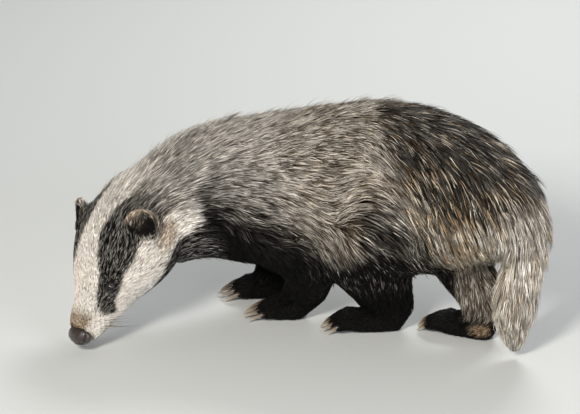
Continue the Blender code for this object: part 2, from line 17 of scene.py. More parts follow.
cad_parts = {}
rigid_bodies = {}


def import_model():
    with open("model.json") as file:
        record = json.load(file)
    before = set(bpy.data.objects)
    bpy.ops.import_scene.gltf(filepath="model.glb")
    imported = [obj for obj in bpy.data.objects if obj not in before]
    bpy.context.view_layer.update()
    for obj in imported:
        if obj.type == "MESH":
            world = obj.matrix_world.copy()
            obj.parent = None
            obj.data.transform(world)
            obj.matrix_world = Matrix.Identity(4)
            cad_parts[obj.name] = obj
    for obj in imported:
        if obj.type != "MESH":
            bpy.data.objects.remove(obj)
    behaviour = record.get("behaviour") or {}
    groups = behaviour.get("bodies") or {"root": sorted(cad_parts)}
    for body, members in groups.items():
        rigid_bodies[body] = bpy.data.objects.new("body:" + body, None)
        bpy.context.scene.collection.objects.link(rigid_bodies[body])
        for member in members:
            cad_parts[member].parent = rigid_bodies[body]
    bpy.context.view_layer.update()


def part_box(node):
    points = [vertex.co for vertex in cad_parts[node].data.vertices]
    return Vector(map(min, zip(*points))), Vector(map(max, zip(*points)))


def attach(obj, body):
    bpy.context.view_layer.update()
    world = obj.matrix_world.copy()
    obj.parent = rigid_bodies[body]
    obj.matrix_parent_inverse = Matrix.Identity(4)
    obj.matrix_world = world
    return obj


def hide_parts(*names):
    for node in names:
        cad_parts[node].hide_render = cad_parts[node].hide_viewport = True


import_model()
MM = 0.001

# %% [markdown]
# ## Where things are
# The solids were set down with the middle of their box over the origin, so a size that is named on the
# animal is moved by the same amount. The head has axes of its own: back from the tip of the nose, to the
# animal's right, and up through the forehead. Marks on the face are easy to place in them.

# %% Axes of the body and the head
SHIFT = Vector((-20.13, 14.10, 0)) * MM
NOSE_TIP = Vector((-226, -102, 15)) * MM + SHIFT
HEAD = (
    Matrix.Translation(NOSE_TIP)
    @ Matrix.Rotation(math.radians(48), 4, "Z")
    @ Matrix.Rotation(math.radians(-50), 4, "Y")
    @ Matrix.Rotation(math.radians(-18), 4, "X")
)
HEAD_TURN = np.array(HEAD.to_3x3())
print("nose tip:", tuple(round(v, 4) for v in NOSE_TIP))

# %% [markdown]
# ## Camera, light and floor
# The photograph looks at the animal's left side from a standing person's height, through a long lens, so
# the picture is almost flat. A big soft light stands high on the left where the photograph's light comes
# from, a weak one fills the shadows and one behind gives the hair on the back its pale fringe.

# %% Camera
VIEW_HEIGHT = math.radians(20)
VIEW_DISTANCE = 3.5
LOOK_AT = Vector((0, 0, 0.1298)) + SHIFT

camera = bpy.data.objects.new("camera", bpy.data.cameras.new("camera"))
bpy.context.collection.objects.link(camera)
camera.data.lens = 200
camera.data.sensor_width = 36
camera.location = LOOK_AT + VIEW_DISTANCE * Vector((0, -math.cos(VIEW_HEIGHT), math.sin(VIEW_HEIGHT)))
camera.rotation_euler = (math.pi / 2 - VIEW_HEIGHT, 0, 0)
bpy.context.scene.camera = camera
print("camera at", tuple(round(v, 3) for v in camera.location))


# %% Colours and nodes
def colour(code):
    """A hex colour as it looks on screen, turned into the linear values that Blender works in."""
    parts = [int(code[k : k + 2], 16) / 255 for k in (0, 2, 4)]
    return (*[p / 12.92 if p <= 0.04045 else ((p + 0.055) / 1.055) ** 2.4 for p in parts], 1.0)


def add_node(tree, kind, inputs=(), **settings):
    """A node with its settings, and with each named input linked to a socket or given a value."""
    node = tree.nodes.new(kind)
    for name, value in settings.items():
        setattr(node, name, value)
    for name, value in dict(inputs).items():
        if isinstance(value, bpy.types.NodeSocket):
            tree.links.new(value, node.inputs[name])
        else:
            node.inputs[name].default_value = value
    return node


def new_material(name, roughness, **sockets):
    """A Principled material; the values that are the same all over are set on its own sockets."""
    material = bpy.data.materials.new(name)
    material.use_nodes = True
    shader = material.node_tree.nodes["Principled BSDF"]
    shader.inputs["Roughness"].default_value = roughness
    for socket, value in sockets.items():
        shader.inputs[socket.replace("_", " ")].default_value = value
    return material, material.node_tree, shader


print("grey at half brightness is", [round(v, 3) for v in colour("808080")])


# %% Studio
# Name, place, width, watts and tint of each light, in metres.
LIGHTS = (
    ("key_light", (-0.8, -2.2, 1.5), 0.5, 80, "FFFAF3"),
    ("fill_light", (1.3, -2.1, 0.8), 1.4, 33, "F4F6FF"),
    ("back_light", (0.6, 1.6, 1.6), 0.9, 30, "FFFFFF"),
)
FLOOR_REACH = 4.0

for name, place, size, watts, tint in LIGHTS:
    lamp = bpy.data.lights.new(name, "AREA")
    lamp.size = size
    lamp.energy = watts
    lamp.color = colour(tint)[:3]
    light = bpy.data.objects.new(name, lamp)
    light.location = place
    light.rotation_euler = (LOOK_AT - Vector(place)).to_track_quat("-Z", "Y").to_euler()
    bpy.context.collection.objects.link(light)
bpy.context.scene.view_settings.view_transform = "Standard"

world = bpy.data.worlds.new("studio")
bpy.context.scene.world = world
world.use_nodes = True
world.node_tree.nodes["Background"].inputs["Color"].default_value = colour("DFE3E8")
world.node_tree.nodes["Background"].inputs["Strength"].default_value = 0.30

floor_shape = bmesh.new()
bmesh.ops.create_grid(floor_shape, x_segments=1, y_segments=1, size=FLOOR_REACH)
floor_mesh = bpy.data.meshes.new("floor")
floor_shape.to_mesh(floor_mesh)
floor_shape.free()
floor = bpy.data.objects.new("floor", floor_mesh)
bpy.context.collection.objects.link(floor)
# Matt paint gives an even pale ground, on which the feet and their shadows show.
floor_material, _, floor_shader = new_material("painted_studio_floor", 0.75)
floor_shader.inputs["Base Color"].default_value = colour("C9CBC8")
floor_mesh.materials.append(floor_material)
print("three lights and a floor")

# %% [markdown]
# ## The skin
# On the animal one skin runs from the nose to the tail. The flesh nodes are copied, joined and remeshed in
# cubes of 2.5 mm, which closes the thin cuts between them. The broad locks of the solids are then smoothed
# away, and the skin is drawn in by the depth of the coat that grows on it.

# %% Join the flesh nodes
FLESH = [
    "torso", "neck", "head", "tail", "ear_left", "ear_right",
    "front_leg_left", "front_leg_right", "hind_leg_left", "hind_leg_right",
    "front_paw_left", "front_paw_right", "hind_paw_left", "hind_paw_right",
]
SKIN_VOXEL = 2.5 * MM
CUT = 0.3 * MM

joined = bmesh.new()
node_tree = KDTree(sum(len(bpy.data.objects[n].data.vertices) for n in FLESH))
for number, name in enumerate(FLESH):
    shape = bmesh.new()
    shape.from_mesh(bpy.data.objects[name].data)
    bmesh.ops.remove_doubles(shape, verts=shape.verts, dist=1e-6)
    shape.normal_update()
    for vertex in shape.verts:
        node_tree.insert(vertex.co, number)
        vertex.co += vertex.normal * CUT
    copy = bpy.data.meshes.new("copy")
    shape.to_mesh(copy)
    joined.from_mesh(copy)
    shape.free()
    bpy.data.meshes.remove(copy)
node_tree.balance()
skin_mesh = bpy.data.meshes.new("skin")
joined.to_mesh(skin_mesh)
joined.free()
skin = bpy.data.objects.new("skin", skin_mesh)
bpy.context.collection.objects.link(skin)
print("joined flesh:", len(skin_mesh.vertices), "points")


# %% Remesh it as one closed surface
def apply_modifiers(piece):
    """Replace a piece's mesh by what its modifiers make of it."""
    graph = bpy.context.evaluated_depsgraph_get()
    finished = bpy.data.meshes.new_from_object(piece.evaluated_get(graph))
    piece.modifiers.clear()
    piece.data = finished


remesh = skin.modifiers.new("remesh", "REMESH")
remesh.mode = "VOXEL"
remesh.voxel_size = SKIN_VOXEL
apply_modifiers(skin)


def largest_island(shape):
    """The biggest connected set of points of a bmesh."""
    best = set()
    unseen = set(shape.verts)
    while unseen:
        island = set()
        waiting = [unseen.pop()]
        while waiting:
            vertex = waiting.pop()
            island.add(vertex)
            for edge in vertex.link_edges:
                other = edge.other_vert(vertex)
                if other in unseen:
                    unseen.discard(other)
                    waiting.append(other)
        if len(island) > len(best):
            best = island
    return best


shape = bmesh.new()
shape.from_mesh(skin.data)
kept = largest_island(shape)
bmesh.ops.delete(shape, geom=[v for v in shape.verts if v not in kept], context="VERTS")
shape.to_mesh(skin.data)
shape.free()
print("one skin of", len(skin.data.vertices), "points")

# %% [markdown]
# Everything that follows works on all points of the skin at once, as arrays: where a point is on the head
# or along the trunk, how deep and how long the coat is there, which way it lies and what colour it has.


# %% Arrays of the skin
def read_points(mesh):
    places = np.empty(len(mesh.vertices) * 3)
    mesh.vertices.foreach_get("co", places)
    return places.reshape(-1, 3)


def read_normals(mesh):
    normals = np.empty(len(mesh.vertices) * 3)
    mesh.vertex_normals.foreach_get("vector", normals)
    return normals.reshape(-1, 3)


def write_points(mesh, places):
    mesh.vertices.foreach_set("co", np.ascontiguousarray(places, dtype=np.float32).ravel())
    mesh.update()


edges = np.empty(len(skin.data.edges) * 2, dtype=np.int64)
skin.data.edges.foreach_get("vertices", edges)
edges = edges.reshape(-1, 2)
points = read_points(skin.data)
COUNT = len(points)
neighbours = np.bincount(edges.ravel(), minlength=COUNT)


def average_round(values):
    """The mean of each point's neighbours, for one value or one vector a point."""
    values = values.reshape(COUNT, -1)
    total = np.empty_like(values)
    for k in range(values.shape[1]):
        low = np.bincount(edges[:, 0], weights=values[edges[:, 1], k], minlength=COUNT)
        high = np.bincount(edges[:, 1], weights=values[edges[:, 0], k], minlength=COUNT)
        total[:, k] = (low + high) / neighbours
    return total


def softened(values, rounds):
    """Values spread to their neighbours, so that they change slowly over the skin."""
    shaped = values.reshape(COUNT, -1)
    for _ in range(rounds):
        shaped = (shaped + average_round(shaped)) / 2
    return shaped.reshape(values.shape)


def ramp(value, low, high):
    """0 below low, 1 above high and a smooth change between them."""
    share = np.clip((value - low) / (high - low), 0, 1)
    return share * share * (3 - 2 * share)


def unit(vectors):
    return vectors / np.maximum(np.linalg.norm(vectors, axis=-1, keepdims=True), 1e-9)


region = np.array([node_tree.find(p)[1] for p in points])


def share_of(*names):
    """1 on the skin of the named nodes and 0 elsewhere, softened where they meet."""
    return softened(np.isin(region, [FLESH.index(n) for n in names]).astype(float), 12)


on_head = share_of("head", "ear_left", "ear_right")
on_ears = np.isin(region, [FLESH.index("ear_left"), FLESH.index("ear_right")]).astype(float)
on_neck = share_of("neck")
on_legs = share_of(*[n for n in FLESH if "leg" in n])
on_paws = share_of(*[n for n in FLESH if "paw" in n])
on_tail = share_of("tail")
print("edges:", len(edges), "points on the head:", int(on_head.sum()))

# %% [markdown]
# Smoothing round by round wears away what is narrower than a few voxels. The trunk takes many rounds, which
# melts its locks into one form, and the head and paws take few, which keeps their shape.

# %% Smooth away the solids' locks
TRUNK_ROUNDS, TAIL_ROUNDS = 90, 45
EAR_ROUNDS, PAW_ROUNDS, LEAST_ROUNDS = 1, 2, 4

rounds = TRUNK_ROUNDS * (1 - np.clip(on_head * 1.2 + on_paws * 1.2 + on_legs * 0.75, 0, 1))
rounds = np.where(on_tail > 0.5, TAIL_ROUNDS, rounds)
fewest = np.where(on_ears > 0, EAR_ROUNDS, np.where(on_paws > 0.5, PAW_ROUNDS, LEAST_ROUNDS))
rounds = np.maximum(rounds, fewest)
for k in range(TRUNK_ROUNDS):
    active = (rounds > k)[:, None] * 0.5
    points = points + active * (average_round(points) - points)
write_points(skin.data, points)
normals = read_normals(skin.data)
print("smoothed, lowest point", round(points[:, 2].min() * 1000, 1), "mm")

# %% Coordinates on the head and along the trunk
to_head = (points - np.array(NOSE_TIP)) @ HEAD_TURN / MM
back, side, rise = to_head.T
MIDLINE = -4.0
outward = np.abs(side - MIDLINE)
face_angle = np.degrees(np.arctan2(rise, outward))

# The middle of the trunk from the root of the tail to the neck: place and half height in millimetres.
TRUNK = np.array([
    (258, -107, 142, 20), (226, -88, 156, 51), (186, -63, 161, 75), (145, -38, 160, 90),
    (102, -18, 160, 94), (54, -2, 154, 91), (11, 10, 149, 87), (-38, 14, 145, 83),
    (-85, 4, 147, 75), (-124, -18, 138, 66), (-150, -31, 124, 58),
], dtype=float)
animal = (points - np.array(SHIFT)) / MM


def along_line(places, line):
    """For each place, how far along the line its nearest point is, that point, and the line's direction."""
    length = np.linalg.norm(np.diff(line[:, :3], axis=0), axis=1)
    begin = np.concatenate(([0], np.cumsum(length)))
    best = np.full(len(places), np.inf)
    where = np.zeros(len(places))
    nearest = np.zeros((len(places), line.shape[1]))
    heading = np.zeros((len(places), 3))
    for k in range(len(line) - 1):
        step = line[k + 1, :3] - line[k, :3]
        share = np.clip((places - line[k, :3]) @ step / (step @ step), 0, 1)
        middle = line[k] + share[:, None] * (line[k + 1] - line[k])
        away = np.linalg.norm(places - middle[:, :3], axis=1)
        closer = away < best
        best = np.where(closer, away, best)
        where = np.where(closer, begin[k] + share * length[k], where)
        nearest = np.where(closer[:, None], middle, nearest)
        heading = np.where(closer[:, None], step / length[k], heading)
    return where, nearest, heading


station, middle, toward_head = along_line(animal, TRUNK)
level = (animal[:, 2] - middle[:, 2]) / middle[:, 3]
station = softened(station, 6)
level = softened(level, 6)
print("trunk is", round(station.max()), "mm long from tail root to neck")

# %% [markdown]
# ## The markings
# A badger's face is white with a dark stripe from beside the nose through the eye and ear to the neck. The
# white cheek runs back under the ear to a point, the throat, belly and legs are black, and the rest is a
# grizzled grey that turns to long dark and cream hair over the rump and to white at the tail. Each mark is a
# share from 0 to 1 at each point, worked out from a few measured places along the head or trunk.

# %% Marks on the head
# Distance behind the nose tip in millimetres, and the angle around the head in degrees.
STRIPE_TOP = ((30, 14), (33, 31), (42, 43), (56, 47), (65, 52), (78, 62), (94, 68), (107, 68), (121, 66),
              (138, 61), (153, 58), (183, 50), (205, 42))
STRIPE_LOW = ((29, 2), (31, -4), (36, -27), (41, -21), (49, 3), (61, 8), (73, 17), (86, 16), (104, 21),
              (118, 18), (129, 8), (151, 9), (167, -2), (180, -11), (190, -23))
CHEEK_LOW = ((50, -70), (70, -55), (85, -38), (100, -23), (119, -22), (139, -32), (152, -27), (166, -12),
             (180, 2))
# How much nearer to the middle of the head the stripe of the far side reaches, in degrees.
FAR_STRIPE = ((56, 0), (78, 4), (94, 7), (121, 11), (153, 11))


def follow(table, value):
    """The second column of a table, read off where its first column has the value."""
    table = np.array(table, dtype=float)
    return np.interp(value, table[:, 0], table[:, 1])


def between(value, low, high, soft):
    """1 from low to high and 0 outside them, with soft edges."""
    return ramp(value, low - soft, low + soft) * (1 - ramp(value, high - soft, high + soft))


cheek_low = follow(CHEEK_LOW, back)
stripe_low = follow(STRIPE_LOW, back)
stripe_top = follow(STRIPE_TOP, back) + follow(FAR_STRIPE, back) * (side > 0)
stripe = between(face_angle, stripe_low, stripe_top, 2.5) * ramp(back, 28, 33)
stripe *= (1 - 0.3 * ramp(back, 118, 140)) * (1 - ramp(back, 136, 172))
throat = 1 - ramp(face_angle, cheek_low - 4, cheek_low + 4)
throat *= ramp(back, 48, 62)
cheek = between(face_angle, cheek_low, stripe_low, 3) * (1 - ramp(back, 150, 182))
brow = ramp(face_angle, stripe_top - 3, stripe_top + 3)
brow = brow * (1 - 0.35 * ramp(back, 95, 135)) * (1 - ramp(back, 150, 205))
muzzle = 1 - ramp(back, 28, 33)
near_head = 1 - ramp(back, 185, 225)
white_head = np.clip(np.maximum(np.maximum(cheek, brow), muzzle) - stripe - throat, 0, 1) * near_head
dark_head = np.clip(stripe + throat * (1 - ramp(back, 165, 205)), 0, 1)
print("white on", int(white_head.sum()), "points of the head, black on", int(dark_head.sum()))

# %% Marks on the trunk
# Distance from the root of the tail in millimetres, and the height where grey turns black. A height on the
# trunk is a share of the trunk's half height above its middle.
BLACK_BELOW = ((40, -1.6), (75, -1.05), (92, -0.62), (112, -0.36), (147, -0.17), (175, -0.12), (200, -0.3),
               (230, -0.46), (260, -0.38), (300, -0.24), (350, -0.1), (395, -0.06), (425, -0.12), (465, -0.3))
# Distance from the root of the tail, and the height up to which the hair is cream.
CREAM_TOP = ((0, 0.9), (15, 0.78), (30, 0.55), (45, 0.25), (73, 0.0), (95, -0.3))
# Height, and the distance from the root of the tail where the hair of the rump begins and where it is full.
RUMP_BEGINS = ((0.0, 108), (0.12, 117), (0.33, 145), (0.5, 161), (0.77, 174), (0.91, 191))
RUMP_FULL = ((0.0, 88), (0.12, 95), (0.33, 109), (0.5, 123), (0.79, 151), (0.91, 180))
# Long hair carries its colour down and back from its root, so the long-haired marks start a little early.
HAIR_SHIFT = 16
CREAM_RAISED = 0.36

black_line = follow(BLACK_BELOW, station)
below = 1 - ramp(level, black_line - 0.24, black_line + 0.3)
below = np.maximum(below, 0.5 * (1 - ramp(level, black_line, black_line + 0.75)))
below = np.maximum(below, 0.16 * ramp(level, 0.5, 0.9) * between(station, 120, 300, 40))
rump_start = follow(RUMP_BEGINS, level) + HAIR_SHIFT
rump_full = follow(RUMP_FULL, level) + HAIR_SHIFT
rump = 1 - ramp(station, rump_full - 6, rump_start + 6)
cream_top = follow(CREAM_TOP, station) + CREAM_RAISED
cream = (1 - ramp(level, cream_top - 0.25, cream_top + 0.2)) * (1 - ramp(station, 74, 106))
print("hair of the rump on", int(rump.sum()), "points")

# %% [markdown]
# The muscle of each thigh makes a dark round haunch. Its front edge has a little brown hair, and ahead
# of that a fold runs down the flank; black hair is laid along it as painted shade, and it is pressed into the
# skin further on.

# %% Haunches
# Place along the body in metres and side of each haunch, and the height of their middle.
HAUNCHES = ((0.084, -1), (0.136, 1))
HAUNCH_HEIGHT = 0.148
# The line between the left and the right half, seen from above, in metres.
HALVES_ALONG, HALVES_ACROSS = (-0.05, 0.05, 0.15), (0.02, 0.0, -0.04)

haunch_rim, haunch, flank_fold = np.zeros((3, COUNT))
for place_x, body_side in HAUNCHES:
    off_middle = body_side * (points[:, 1] - np.interp(points[:, 0], HALVES_ALONG, HALVES_ACROSS))
    here = ramp(off_middle, 0.01, 0.04)
    from_haunch = np.hypot(points[:, 0] - place_x, points[:, 2] - HAUNCH_HEIGHT) / MM
    round_mark = here * (1 - ramp(from_haunch, 40, 62)) * (1 - ramp(points[:, 2], 0.148, 0.196))
    haunch = np.maximum(haunch, round_mark)
    in_front = 1 - ramp(points[:, 0], place_x - 0.02, place_x + 0.03)
    haunch_rim = np.maximum(haunch_rim, here * between(from_haunch, 44, 64, 8) * in_front)
    in_fold = here * between(from_haunch, 54, 62, 6)
    in_fold = in_fold * (1 - ramp(points[:, 0], place_x - 0.045, place_x - 0.025))
    in_fold = in_fold * ramp(points[:, 2], 0.075, 0.095) * (1 - ramp(points[:, 2], 0.14, 0.165))
    flank_fold = np.maximum(flank_fold, in_fold)
# The haunches take black hair, and the flank folds are half black as painted shade in the crease.
below = np.maximum(below, np.maximum(0.8 * haunch, 0.5 * flank_fold))
print("haunches on", int(haunch.sum()), "points, folds on", int(flank_fold.sum()))

# %% [markdown]
# The marks are now shared out among the kinds of hair: white, black, cream, rump, and tan over the others.
# What no kind takes stays grizzled grey. The inside of the far thigh is thinly haired, the heel and the hair
# behind the near ear are brownish, and the neck is a little paler than the back.

# %% Shares of the kinds of hair
HEEL = np.array((0.192, -0.066, 0.016))
BEHIND_EAR = (126, -67, -3)

limbs = np.clip(on_legs + on_paws, 0, 1)
plain_leg = limbs * (1 - ramp(points[:, 2], 0.085, 0.12))
inner_thigh = share_of("hind_leg_right") * ramp(-normals[:, 1], 0.0, 0.5)
inner_thigh = inner_thigh * (1 - ramp(points[:, 2], 0.105, 0.135))
inner_thigh *= ramp(points[:, 0], 0.150, 0.168) * ramp(points[:, 2], 0.026, 0.046)
bare = np.clip(inner_thigh, 0, 1)
heel_patch = 1 - ramp(np.linalg.norm((points - HEEL) * (0.6, 1, 1), axis=1), 0.004, 0.017)
snout = (1 - ramp(back, 15, 29)) * ramp(face_angle, 10, 50) * on_head
behind_ear = 1 - ramp(np.linalg.norm(to_head - BEHIND_EAR, axis=1), 8, 24)
tail_root = (1 - ramp(station, 10, 52)) * (1 - ramp(level, 0.5, 1.05)) * (1 - limbs)
tail_white = np.maximum(on_tail * ramp(-points[:, 2], -0.16, -0.11), 0.95 * tail_root)

rest = np.clip(1 - white_head - dark_head, 0, 1)
black = rest * np.maximum(below * (1 - cream), plain_leg) * (1 - near_head * (1 - throat))
black = np.maximum(black + dark_head, on_paws)
black = np.clip(black * (1 - inner_thigh * 0.9) * (1 - 0.65 * heel_patch) + 0.45 * snout, 0, 1)
white = white_head * (1 - black) * (1 - 0.75 * snout)
cream = np.clip(cream * rest * (1 - plain_leg) * (1 - black) * (1 - tail_white), 0, 1)
pale_neck = 0.28 * ramp(station, 230, 400) * ramp(level, -0.25, 0.3) * rest * (1 - on_head * dark_head)
white = np.clip(white + 0.97 * tail_white + pale_neck * (1 - black) + 0.4 * inner_thigh, 0, 1)
cream = np.clip(cream + 0.2 * between(station, 175, 300, 25) * rest * (1 - black), 0, 1)
rump = rump * rest * (1 - np.maximum(black, cream)) * (1 - tail_white) * (1 - inner_thigh)
tan = 0.75 * heel_patch + 0.16 * haunch_rim * (1 - black) + 0.5 * snout
tan = np.clip(tan + 0.6 * behind_ear * white + 0.12 * inner_thigh, 0, 1)
shares = {"white": white, "black": black, "cream": cream, "rump": rump, "tan": tan}
print("mean shares:", {kind: round(float(share.mean()), 3) for kind, share in shares.items()})

# %% [markdown]
# Each ear has a pale rim round a dark cup. The ears turn outward by different angles, so each has axes of
# its own, on the head: the way it leans, and the way across it. One side of the near ear's rim is darker.

# %% Marks of the ears
EARS = {
    "ear_left": (-1, Vector((0.85, 0.14, 0.50)), Vector((0.35, 0.62, -0.70))),
    "ear_right": (1, Vector((0.82, 0.12, 0.56)), Vector((-0.05, 0.93, -0.35))),
}
# Half the width and half the height of the cup in millimetres, and how far below the ear's middle it sits.
CUP_WIDTH, CUP_HEIGHT, CUP_LOWER = 15, 14, 1

ear_rim, ear_cup, dark_rim = np.zeros((3, COUNT))
ear_lie = np.zeros((COUNT, 3))
turn = HEAD.to_3x3()
for name, (ear_side, lean, wide) in EARS.items():
    mirror = Vector((1, ear_side, 1))
    lean = (turn @ (lean * mirror)).normalized()
    wide = turn @ (wide * mirror)
    face = lean.cross(wide).normalized()
    if face.dot(turn @ Vector((-1, 0, 1))) < 0:
        face = -face
    wide = lean.cross(face)
    low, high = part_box(name)
    from_middle = points - np.array((low + high) / 2)
    across, up_ear, ahead = (from_middle @ np.array(v) / MM for v in (wide, lean, face))
    here = (region == FLESH.index(name)).astype(float)
    from_cup = np.hypot(across / CUP_WIDTH, (up_ear + CUP_LOWER) / CUP_HEIGHT)
    rim_here = here * ramp(from_cup, 0.92, 1.08) * ramp(up_ear, -9, -3) * ramp(ahead, -3, 0)
    ear_rim = np.maximum(ear_rim, rim_here)
    dark_rim = np.maximum(dark_rim, rim_here * ramp(across, 5, 13) * (ear_side < 0))
    cup_here = here * (1 - ramp(from_cup, 0.72, 0.92)) * ramp(normals @ np.array(face), -0.2, 0.3)
    ear_cup = np.maximum(ear_cup, cup_here)
    ear_lie += here[:, None] * (np.array(lean) - 0.35 * np.array(face))
print("points on the rims:", int(ear_rim.sum()), "in the cups:", int(ear_cup.sum()))

# %% Colour the ears
hollow = ear_cup * ramp(outward, 55, 63)
rim_white = (ear_rim - 0.7 * dark_rim) * np.where(side > 0, 0.8, 0.34)
rim_tan = (ear_rim - 0.6 * dark_rim) * np.where(side > 0, 0.25, 0.55)
black = black * (1 - ear_rim) * (1 - ear_cup) + 0.7 * ear_cup + hollow + 0.22 * ear_rim + 0.35 * dark_rim
black = np.clip(black, 0, 1)
white = np.clip(white * (1 - on_ears) + rim_white, 0, 1)
tan = np.clip(tan * (1 - on_ears) + rim_tan + 0.04 * (ear_cup - hollow), 0, 1)
print("tan in all on", int(tan.sum()), "points")

# %% [markdown]
# ## The lie of the coat
# Hair lies away from the nose, back along the neck and trunk, down the flanks and legs, and fans out from a
# whorl in front of each thigh. A direction is given to each point from the part of the body it is on, laid
# flat on the skin, and then softened so that it turns smoothly from one part to the next.

# %% Directions of the hair
DOWN = np.array((0.0, 0.0, -1.0))
eye_places = np.array([[sum(c) / 2 for c in zip(*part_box(n))] for n in ("eye_left", "eye_right")])
nearest_eye = eye_places[(side > MIDLINE).astype(int)]
eye_distance = np.linalg.norm(points - nearest_eye, axis=1) / MM
WHORLS = np.array(((30.0, -100.0, 142.0), (82.0, 76.0, 142.0))) * MM
WHORL_REACH = 105 * MM
# Distance from the root of the tail in millimetres, and how steeply the hair falls down the flank there.
FALL = ((0, 2.4), (40, 2.1), (120, 1.8), (165, 1.5), (195, 0.8), (215, 0.35), (300, 0.22), (460, 0.2))


def flattened(directions):
    """Directions laid on the skin."""
    return unit(directions - normals * np.sum(directions * normals, axis=1, keepdims=True))


lie = -toward_head + follow(FALL, station)[:, None] * DOWN
for whorl in WHORLS:
    ray = points - whorl
    away = np.linalg.norm(ray, axis=1)
    pull = 2.2 * (1 - ramp(away, 0.3 * WHORL_REACH, WHORL_REACH)) * ramp(ray[:, 0], -0.012, 0.01)
    lie = lie + pull[:, None] * unit(ray)
lie = lie * (1 - on_head)[:, None] + HEAD_TURN[:, 0] * on_head[:, None]
lie = lie * (1 - on_ears)[:, None] + ear_lie
around_eyes = 1.5 * (1 - ramp(eye_distance, 6, 15))
lie = lie + around_eyes[:, None] * unit(points - nearest_eye)
leg_share = (np.clip(on_legs, 0, 1) * (1 - ramp(points[:, 2], 0.07, 0.13)))[:, None]
lie = lie * (1 - leg_share) + (DOWN + np.array((0.22, 0, 0))) * leg_share
toe_share = on_paws[:, None]
lie = lie * (1 - toe_share) + np.array((-1.0, 0.05, -0.45)) * toe_share
tail_share = on_tail[:, None]
lie = lie * (1 - tail_share) + (DOWN + np.array((0.03, 0, 0))) * tail_share
trunk_lie = lie
for _ in range(30):
    trunk_lie = flattened(softened(trunk_lie, 5))
for _ in range(8):
    lie = flattened(softened(lie, 2))
keep_fine = np.clip(on_head + on_legs + on_paws + on_tail, 0, 1)[:, None]
lie = flattened(lie * keep_fine + trunk_lie * (1 - keep_fine))
lie = flattened(softened(lie, 4))
print("directions laid on", COUNT, "points")

# %% [markdown]
# ## Depth and length of the coat
# The fur is a few millimetres on the muzzle and feet, about three centimetres on the neck and back and five
# on the rump and tail. The skin is drawn in by the depth that the hair then fills again. Black hair is
# thicker and sparser, the rims of the ears have finer hair, and the stripe's hair is longer behind the eye.

# %% Depth of the coat
EAR_DEPTH, PAW_DEPTH = 0.4, 1.0
TRUNK_LOCKS, TAIL_LOCKS = 7, 5  # how far the hair stands out past the solids
RIM_RISE = 2.4

height = points[:, 2] / MM
head_depth = np.interp(back, (0, 15, 30, 60, 90, 130, 160), (0.3, 0.6, 1.0, 1.8, 3.6, 5.0, 5.5))
head_depth = head_depth * (0.35 + 0.65 * ramp(eye_distance, 9, 20))
trunk_depth = np.interp(height, (0, 40, 100), (2.0, 3.0, 4.5))
drawn_in = head_depth * on_head + trunk_depth * (1 - on_head)
drawn_in = drawn_in * (1 - on_paws) + PAW_DEPTH * on_paws
drawn_in = softened(np.where(on_ears > 0, EAR_DEPTH, drawn_in), 8)
lock_depth = TRUNK_LOCKS * ramp(height, 50, 120) * ramp(level, -0.9, -0.2) * (1 - on_head)
lock_depth = np.maximum(lock_depth * (1 - on_tail), TAIL_LOCKS * on_tail)
coat_depth = softened(drawn_in + lock_depth, 6) + RIM_RISE * ear_rim
print("skin to be drawn in by up to", round(float(drawn_in.max()), 1), "mm")

# %% Length and width of the hair, and layers of the coat
PAW_HAIR = 7.5
EAR_HAIR, RIM_MORE, CUP_MORE = 6.5, 4.5, 3
HAIR_SIZES = (3, 8, 15, 30, 50)

head_length = np.interp(back, (0, 10, 30, 60, 90, 120, 150, 190), (2.5, 4, 6, 8, 12, 15, 20, 26))
trunk_length = np.interp(station, (0, 60, 140, 220, 300, 460), (50, 50, 42, 33, 29, 25))
trunk_length *= np.interp(level, (-1.0, -0.6, 0.2), (0.6, 0.75, 1.0))
leg_length = np.interp(height, (15, 40, 90, 130), (9, 13, 20, 30))
tail_length = np.interp(height, (10, 60, 160), (30, 42, 48))
length = head_length * on_head + trunk_length * (1 - on_head)
length = length * (1 - on_legs * (1 - ramp(height, 100, 150)))
length += leg_length * on_legs * (1 - ramp(height, 100, 150))
length = length * (1 - on_paws) + PAW_HAIR * on_paws
length = length * (1 - on_tail) + tail_length * on_tail
length = np.where(on_ears > 0, EAR_HAIR + RIM_MORE * ear_rim + CUP_MORE * ear_cup, length)
length = softened(length, 3)
length = length * (1 + 0.35 * stripe * ramp(back, 60, 85))
length = length * (0.4 + 0.6 * ramp(eye_distance, 8, 17))
width = np.interp(length, HAIR_SIZES, (0.45, 0.65, 0.9, 1.15, 1.55))
width = width * (1 + 0.45 * black * (1 - on_head)) * (1 - 0.2 * ear_rim)
layers = np.interp(length, HAIR_SIZES, (2.4, 3.0, 3.8, 6.0, 7.3))
layers = layers * (1 - 0.65 * bare) * (1 - 0.45 * ear_cup)
layers = layers * (1 - 0.35 * black * (1 - on_head)) * (1 - 0.35 * on_paws)
print("hair from", round(length.min(), 1), "to", round(length.max(), 1), "mm long")

# %% [markdown]
# ## Toes and claws
# A badger digs with five long claws on each front foot. They are horn, paler and smoother than the fur, so
# each is a piece of its own that grows out of its toe. The remeshed skin only has blunt stubs there, which
# are shrunk to a thread inside the claws.

# %% Where the claws are
# Heel in millimetres, direction of the toes in degrees, and length, width and claw length of the foot. The
# toes spread by the same rule as in the solids, so that the claws stand where the solids have them.
PAWS = {
    "front_left": ((17, 2), 6, (41, 44, 18)),
    "front_right": ((-12, 68), 0, (41, 44, 18)),
    "hind_left": ((120, -32), 0, (60, 40, 12)),
    "hind_right": ((217, -62), 30, (60, 40, 12)),
}
CLAW_STEPS = 7
# Shares of the foot: how far the middle toe reaches for its length, and how wide the toes fan out.
TOE_REACH, TOE_FAN = 1.28, 0.43
